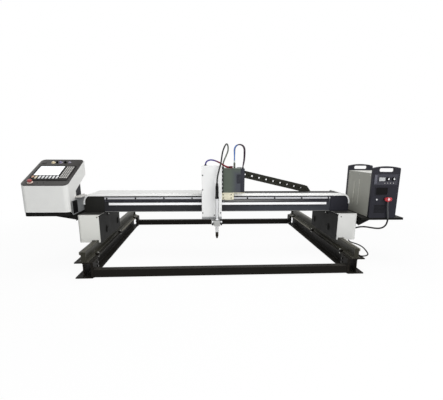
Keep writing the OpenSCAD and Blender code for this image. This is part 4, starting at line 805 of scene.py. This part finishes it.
# %% Chain links
PITCH = 82
HOLE = 14
stations = []
pin = Vector((249, -240, 863.4))
for bearing in [-13] * 9 + [-54.75, -96.5, -138.25] + [180] * 11:
    heading = Vector((math.cos(math.radians(bearing)), 0, math.sin(math.radians(bearing))))
    stations.append((pin.copy(), heading))
    pin = pin + heading * PITCH
plate = round_outline((-63, -38), (63, 38), 20)
plate_hole = [(HOLE * u / math.hypot(u, v), HOLE * v / math.hypot(u, v)) for u, v in plate]
pin_head = [(0, 0), (7, 0), (7, 1.4), (5, 2.4), (0, 2.4)]
chain_bm = bmesh.new()
for k, (start, heading) in enumerate(stations):
    rise = (-heading.z, 0, heading.x)
    spot = plane(heading, rise, (0, -1, 0), start + heading * (PITCH / 2))
    near, out = (31, 35) if k % 2 == 0 else (26.5, 30.5)
    for side in (-1, 1):
        slab(chain_bm, plate, side * near, side * out, spot, plate_hole)
        for end in (-PITCH / 2, PITCH / 2):
            turned(chain_bm, pin_head, (end, 0, side * 33.6), (0, 0, side), 14, spot=spot)
    for bar in (-33, 33):
        block(chain_bm, (-9, bar - 3, -26.6), (9, bar + 3, 26.6), 0.8, spot)
bmesh.ops.bisect_plane(chain_bm, geom=chain_bm.verts[:] + chain_bm.edges[:] + chain_bm.faces[:],
                       plane_co=(249.6, 0, 800), plane_no=(-1, 0, 0), dist=0.01)
lost = [v for v in chain_bm.verts if v.co.x < 249.5 and v.co.z > 620]
bmesh.ops.delete(chain_bm, geom=lost, context="VERTS")
open_rims = [rim for rim in chain_bm.edges if rim.is_boundary]
bmesh.ops.holes_fill(chain_bm, edges=open_rims)
chain = keep("chain_links", chain_bm, "chain_olive")
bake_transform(chain)
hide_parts("cable_chain")
print("links", len(stations))

# %% [markdown]
# ## Console
# The operator stands in front of a sloping panel with a white screen, a row of soft keys, a block of
# small keys and a line of round controls along the top. The panel's own axes are u to the right,
# v up the slope and h out of it, so everything on it is drawn flat and laid down by one matrix.

# %% Screen and keys
RUN = 525
RISE = 214
FACE_H = 4.2
KEY_H = 7.2
panel = Matrix.Translation((-1848, -800, 793)) @ Matrix.Rotation(math.atan2(RISE, RUN), 4, "X")
screen_edge = round_outline((54, 190), (289, 391), 3)
unit_bm = bmesh.new()
slab(unit_bm, round_outline((36, 84), (394, 407), 8), SEAT, 3.4, panel)
slab(unit_bm, round_outline((39, 87), (391, 404), 7), 3.4, FACE_H, panel)
slab(unit_bm, round_outline((46, 184), (296, 398), 5), FACE_H, 6.2, panel, screen_edge)
unit = keep("unit_bezel", unit_bm, "unit_black", "gantry")
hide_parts("control_unit")
glass_bm = bmesh.new()
slab(glass_bm, screen_edge, FACE_H, 5.2, panel)
keep("screen_page", glass_bm, "screen_white", "gantry")
for keys, paint_name, first, last, low_v in (("soft_key_amber", "key_amber", 0, 1, 142),
                                             ("soft_key_cream", "key_cream", 1, 2, 120),
                                             ("soft_keys", "key_white", 2, 8, 120)):
    soft_bm = bmesh.new()
    for k in range(first, last):
        u = 52 + 32.5 * k
        block(soft_bm, (u, low_v, FACE_H), (u + 18.2, 178, KEY_H), 1.4, panel)
    keep(keys, soft_bm, paint_name, "gantry")
pad_bm = bmesh.new()
for i in range(4):
    for j in range(8):
        u, v = 311 + 19.5 * i, 128 + 32.75 * j
        block(pad_bm, (u, v, FACE_H), (u + 13.6, v + 23, KEY_H), 1.2, panel)
keep("pad_keys", pad_bm, "key_grey", "gantry")
print("screen and keys on the panel")

# %% Round controls
ROW_V = math.hypot(RISE, RUN) - 78
turned_set("stop_ring", [(7, 0), (26, 0), (26, 3.2), (23.5, 5.2), (17, 5.2), (17, 3.8), (7, 3.8)],
           [(77, 50, 0)], 40, panel, "ring_rose", loop=True)
turned_set("control_collars", [(11.7, 0), (15.5, 0), (15.5, 2.6), (14.2, 4), (11.7, 4)],
           [(176, ROW_V, 0), (258, ROW_V, 0)], 32, panel, "switch_black", loop=True)
for ring_name, u, paint_name, slot in (("start_ring", 140, "button_cream", "cream_plastic"),
                                       ("pause_ring", 212, "button_lilac", "violet_plastic")):
    turned_set(ring_name, [(11.7, 0), (21, 0), (21, 2.6), (19.4, 4.2), (14, 4.2), (13, 6.5), (11.7, 6.5)],
               [(u, ROW_V - 5, 0)], 32, panel, paint_name, loop=True)
lock_bm = bmesh.new()
turned(lock_bm, [(0, 0), (21, 0), (21, 4), (18, 7), (9, 7), (7, 5), (0, 5)], (48, 486, 0), UP, 36,
       spot=panel)
block(lock_bm, (46, 479, 5), (50, 493, 9), 0.8, panel)
keep("key_lock", lock_bm, "key_lock", "gantry")
turned_set("ready_lamp", [(0, 0), (15, 0), (15, 3), (12, 4.5), (11, 8), (7, 11), (0, 12)],
           [(301, ROW_V - 3, 0)], 32, panel, "button_lilac")
turned_set("panel_studs", [(0, 0), (5, 0), (5, 1.2), (3.6, 2.2), (1.8, 2.2), (1.8, 1.2), (0, 1.2)],
           [(146, 40, 0), (200, 40, 0), (16, 90, 0), (407, 90, 0), (16, 440, 0), (407, 440, 0)],
           18, panel, "screw_black")
print("controls along v", round(ROW_V, 1))

# %% Console sides
vent_spot = plane((0, 1, 0), UP, (1, 0, 0), (-1406, 0, 0))
vent_edge = round_outline((-756, 521), (-645, 630), 3)
vent_bm = bmesh.new()
slab(vent_bm, round_outline((-761, 516), (-640, 635), 4), SEAT, 2, vent_spot, vent_edge)
slab(vent_bm, vent_edge, SEAT, 0.5, vent_spot)
for k in range(10):
    z = 523 + 10.8 * k
    block(vent_bm, (-756.5, z, SEAT), (-644.5, z + 7.2, 1.6), 0.5, vent_spot)
keep("side_louvre", vent_bm, "switch_black", "gantry")
lip_bm = bmesh.new()
block(lip_bm, (-1424.5, -640, 655.05), (-1362, -476, 666), 1.2)
block(lip_bm, (-1424.5, -475.95, 655.05), (-1404, -412, 666), 1.2)
keep("mount_lip", lip_bm, "key_grey", "gantry")
print("console sides ready")

# %% [markdown]
# ## Power supply
# A welding-type supply with crowned plastic ends and a sheet case. Its control strip has a small display,
# two knobs with pale caps and a row of buttons, and below it are a dark window, cooling slots and the
# red plug. The front faces -Y, so a matrix turns drawings in x and z to lie on that face.

# %% Supply front
KNOB_TOP = 18.05
front = facing(-794)
window_edge = round_outline((1517, 694), (1633, 766), 6)
dial_edge = round_outline((1536, 828), (1599, 864), 2.5)
rim_bm = bmesh.new()
slab(rim_bm, round_outline((1486, 790), (1727, 897), 8), SEAT, 2.2, front,
     round_outline((1490, 794), (1723, 893), 6))
slab(rim_bm, round_outline((1512, 689), (1638, 771), 8), SEAT, 3, front, window_edge)
slab(rim_bm, round_outline((1531, 823), (1604, 869), 4), SEAT, 3.4, front, dial_edge)
keep("supply_rims", rim_bm, "supply_shell", "gantry")
window_bm = bmesh.new()
slab(window_bm, window_edge, SEAT, 1, front)
for k in range(6):
    z = 516 + 14 * k
    block(window_bm, (1517.5, z, SEAT), (1626, z + 6, 2.6), 0.8, front)
keep("supply_window", window_bm, "switch_black", "gantry")
dial_bm = bmesh.new()
slab(dial_bm, dial_edge, SEAT, 1.8, front)
keep("supply_display", dial_bm, "display_grey", "gantry")
stripe_bm = bmesh.new()
for x in (1492, 1500, 1508):
    block(stripe_bm, (x, 802, SEAT), (x + 4.6, 886, 1.8), 0.6, front)
keep("supply_stripes", stripe_bm, "supply_stripe", "gantry")
turned_set("supply_buttons", [(0, 0), (4.2, 0), (4.2, 1.6), (3.2, 2.6), (0, 2.8)],
           [(x, 808, SEAT) for x in (1597, 1626, 1655, 1684)], 20, front, "key_grey")
turned_set("supply_pilot", [(0, 0), (7.5, 0), (7.5, 2), (5, 4), (0, 4.6)],
           [(1535, 647, SEAT)], 22, front, "key_white")
for knob, x in (("current_knob", 1624), ("pressure_knob", 1679)):
    knob_bm = bmesh.new()
    turned(knob_bm, [(0, 0), (8, 0), (8, 0.8), (6.4, 1.6), (0, 1.8)], (x, 849, KNOB_TOP), UP, 24,
           spot=front)
    block(knob_bm, (x - 0.9, 858, KNOB_TOP), (x + 0.9, 864.5, 18.9), 0.2, front)
    keep(knob + "_cap", knob_bm, "key_white", knob)
# The pale cap on the front of the plug is a painted highlight on the red plug.
turned_set("plug_highlight_cap", [(0, 0), (11.5, 0), (11.5, 1.2), (8, 2.8), (0, 3.2)],
           [(1642, 652, 31.05)], 26, front, "plug_highlight_pale")
print("supply front ready")

# %% Supply sides
flank = plane((0, -1, 0), UP, (-1, 0, 0), (1475, 0, 0))
rib_bm = bmesh.new()
for u0, u1, z0, z1 in ((393, 407, 540, 790), (509, 523, 552, 822)):
    slab(rib_bm, round_outline((u0, z0), (u1, z1), 6), SEAT, 3, flank)
    slab(rib_bm, round_outline((u0 + 3, z0 + 3), (u1 - 3, z1 - 3), 3.5), 3, 4.6, flank)
keep("case_ribs", rib_bm, "rib_olive", "gantry")
turned_set("case_screws", [(0, 0), (6.5, 0), (6.5, 1.2), (4.5, 2.4), (0, 2.6)],
           [(u, z, SEAT) for u, z in ((262, 876), (734, 876), (262, 495), (734, 495), (498, 876))],
           18, flank, "bolt_zinc")
print("supply sides ready")

# %% [markdown]
# ## Torch carriage
# The white lifter hides the screw drive, and the torch rides in front of it. The fitter's pieces here
# are small: cover screws, hex nuts on the hose fittings, glands where cables enter, a bolted strip
# beside the lifter and a ribbed rubber grip on the torch.

# %% Lifter details
lifter_spots = ((-180, 871), (-181, 729), (-181, 496), (-1, 496), (-65, 472))
turned_set("lifter_screws", screw(6.4, 2.4), [(x, z, SEAT) for x, z in lifter_spots], 18, facing(-645),
           "screw_black", "saddle")
strip_bm = bmesh.new()
block(strip_bm, (10.05, -602, 694), (27, -588, 952), 0.8)
keep("lifter_strip", strip_bm, "motor_black", "saddle")
turned_set("lifter_strip_bolts", screw(4.8, 3.4), [(18.5, 722 + 40 * k, SEAT) for k in range(6)], 18,
           facing(-602), "fitting_silver", "saddle")
print("lifter screws ready")

# %% Fittings and glands
TORCH_AXIS = (-40, -690, 0)
nut_bm = bmesh.new()
for hose_axis in ((149, -482, 0), (149, -462, 0)):
    turned(nut_bm, [(7.7, 940), (9.4, 940), (10, 942), (10, 953), (9.4, 955), (7.7, 955)],
           hose_axis, UP, 6, True)
    turned(nut_bm, [(7.7, 958), (8.8, 958), (9.2, 960), (9.2, 984), (8.2, 988), (7.7, 988)],
           hose_axis, UP, 24, True)
keep("hose_nuts", nut_bm, "fitting_dark", "saddle", 25)
gland_bm = bmesh.new()
for x, y, z, bore in ((-150, -600, 963.05, 7.7), (32, -462, 933.05, 7.7),
                      (236, -482, 931.05, 6.2), (239, -462, 931.05, 6.2)):
    flange = bore + 3.4
    turned(gland_bm, [(bore, 0), (flange, 0), (flange, 5), (bore + 2.4, 7), (bore + 1.2, 13), (bore, 13)],
           (x, y, z), UP, 24, True)
turned(gland_bm, [(7.7, 0), (10.6, 0), (10.6, 4), (9.6, 6), (8.6, 12), (7.7, 12)],
       (101.95, -503, 944), (-1, 0, 0), 24, True)
keep("cable_glands", gland_bm, "switch_black", "saddle")
sleeve_bm = bmesh.new()
sleeve_run = [p for p in flow(routes["lifter_cable"][1]) if 40 < p.x < 89]
sweep(sleeve_bm, sleeve_run, lambda t: 8.2 + 2 * t, 18)
keep("cable_sleeve", sleeve_bm, "boot_maroon", "saddle")
boot_bm = bmesh.new()
turned(boot_bm, [(7.8, 769.05), (14.6, 769.05), (13.6, 774), (12.4, 776), (12.8, 780), (11.6, 783),
                 (11.8, 787), (10.4, 790), (10.4, 794), (9, 799), (7.8, 799)], TORCH_AXIS, UP, 28, True)
for k in range(7):
    z = 676 + 13 * k
    turned(boot_bm, [(15.1, z), (16.3, z + 1.4), (16.3, z + 6.6), (15.1, z + 8)], TORCH_AXIS, UP, 28, True)
keep("torch_boot", boot_bm, "cable_black", "torch_body")
for caps, paint_name, slot, z in (("clamp_caps", "key_white", "cream_plastic", 413.3),
                                  ("clamp_grips", "switch_black", "black_plastic", 388.7)):
    clamp_bm = bmesh.new()
    for side in (-1, 1):
        base = (-40 + side * 36, -696, z)
        outward = (side, 0, 0)
        turned(clamp_bm, [(8.1, 0), (10.6, 0), (10.6, 12), (8.1, 12)], base, outward, 24, True)
        turned(clamp_bm, [(0, 12.05), (10.6, 12.05), (9, 14.2), (0, 14.6)], base, outward, 24)
    keep(caps, clamp_bm, paint_name, "torch_body")
turned_set("torch_collar",
           [(15.1, 429.05), (21, 429.05), (22, 430.4), (22, 440), (20.6, 441.4), (15.1, 441.4)],
           [TORCH_AXIS], 32, None, "fitting_silver", "torch_body", True)
print("fittings ready")

# %% Drive housing
housing_face = facing(-562)
grille_bm = bmesh.new()
slab(grille_bm, round_outline((166, 785), (203, 874), 3), SEAT, 1.6, housing_face,
     round_outline((169, 788), (200, 871), 2))
for k in range(9):
    z = 789 + 9.2 * k
    block(grille_bm, (168.5, z, SEAT), (200.5, z + 5.6, 1.4), 0.4, housing_face)
keep("housing_vent", grille_bm, "supply_shell", "saddle")
lid_bm = bmesh.new()
slab(lid_bm, round_outline((20.5, -563.5), (206.5, -381), 4), 926, 933, Matrix.Identity(4),
     round_outline((22.05, -562.05), (204.95, -382.05), 3))
for x, z in ((34, 704), (34, 918), (192, 704), (192, 912)):
    turned(lid_bm, screw(4.4, 2.2), (x, z, SEAT), UP, 18, spot=housing_face)
keep("housing_lid", lid_bm, "housing_green", "saddle")
arm_spots = ((30, 634), (30, 668), (112, 634), (112, 668), (-170, 520), (-10, 520))
turned_set("saddle_bolts", screw(6, 5), [(x, z, SEAT) for x, z in arm_spots], 18, facing(-550),
           "screw_black", "saddle")
print("housing ready")

# %% [markdown]
# ## Gantry ends and beam
# The end covers are folded sheet held by a screw in an upper corner. Under the beam, the end carriages
# carry bearing caps over the wheel axles and bolts that hold the beam. They are turned pieces in one
# mesh for each finish, mirrored from one side to the other. The white cover over the beam ends in a
# folded hem at the front, and a black mat lies on it beside the chain trough.

# %% Covers, mat and bearing caps
INNER_X = 1184.9
AXLE_Z = 305
CAP_THICK = 7
turned_set("cover_screws", screw(6, 2.6), [(-1202, 474, SEAT), (1216, 466, SEAT)], 18, facing(-735),
           "screw_black")
cap_bm = bmesh.new()
bolt_bm = bmesh.new()
for side in (-1, 1):
    inward = (-side, 0, 0)
    for y in (-479, -19):
        turned(cap_bm, [(0, 0), (38, 0), (38, 5), (35, CAP_THICK), (22, CAP_THICK), (20, 11), (0, 11)],
               (side * INNER_X, y, AXLE_Z), inward, 36)
        for k in range(4):
            angle = math.radians(45 + 90 * k)
            across, above = 29 * math.cos(angle), 29 * math.sin(angle)
            turned(cap_bm, [(0, 0), (4.4, 0), (4.4, 3), (3.6, 3.8), (0, 3.8)],
                   (side * (INNER_X - CAP_THICK), y + across, AXLE_Z + above), inward, 6)
    for y, heads in ((-440, cap_bm), (-390, bolt_bm), (-340, cap_bm)):
        turned(heads, [(0, 0), (8, 0), (8, 5), (6.8, 6.2), (0, 6.2)], (side * INNER_X, y, 453), inward, 6)
mat_bm = bmesh.new()
block(mat_bm, (24, -438, 672.05), (1290, -318, 674.6), 1)
keep("chain_mat", mat_bm, "cable_black", "gantry")
hem_bm = bmesh.new()
hem_edge = [(1350, 646), (1345, 648.8), (1335, 652.7), (1325, 655), (1314, 655.9)]
slab(hem_bm, hem_edge + [(-x, z) for x, z in reversed(hem_edge)], 0, 3, facing(-470))
keep("cover_hem", hem_bm, "cover_white", "gantry")
keep("bearing_caps", cap_bm, "charcoal", "gantry")
keep("carriage_bolts", bolt_bm, "bolt_zinc", "gantry", 25)
print("covers and caps ready")

# %% [markdown]
# ## Floor rails
# The cross tubes are welded to end plates. A weld bead is a tube laid round the joint, with a little
# ripple from the welder's hand, so its radius follows a sine along the path.

# %% Weld beads
bead_bm = bmesh.new()
for side in (-1, 1):
    for y in (-1090, 1090):
        path = []
        for u, v in round_outline((-35, -35), (35, 35), 6, 3):
            path.append(Vector((side * 1148, y + u, 45 + v)))
        dense = []
        for a, b in zip(path, path[1:] + path[:1]):
            count = max(1, int((b - a).length / 6))
            dense += [a.lerp(b, k / count) for k in range(count)]
        sweep(bead_bm, dense, lambda t: 3.2 + 0.7 * math.sin(190 * t), 8, True)
keep("weld_beads", bead_bm, "rail_black", "base", 60)
plate_bm = bmesh.new()
for side in (-1, 1):
    for end in (-1, 1):
        x0, x1 = sorted((side * 1203, side * 1246))
        y0, y1 = sorted((end * 1125.05, end * 1129))
        block(plate_bm, (x0, y0, 159.2), (x1, y1, 246), 0.8)
keep("rail_end_plates", plate_bm, "rail_head", "base")
print("weld beads and end plates ready")
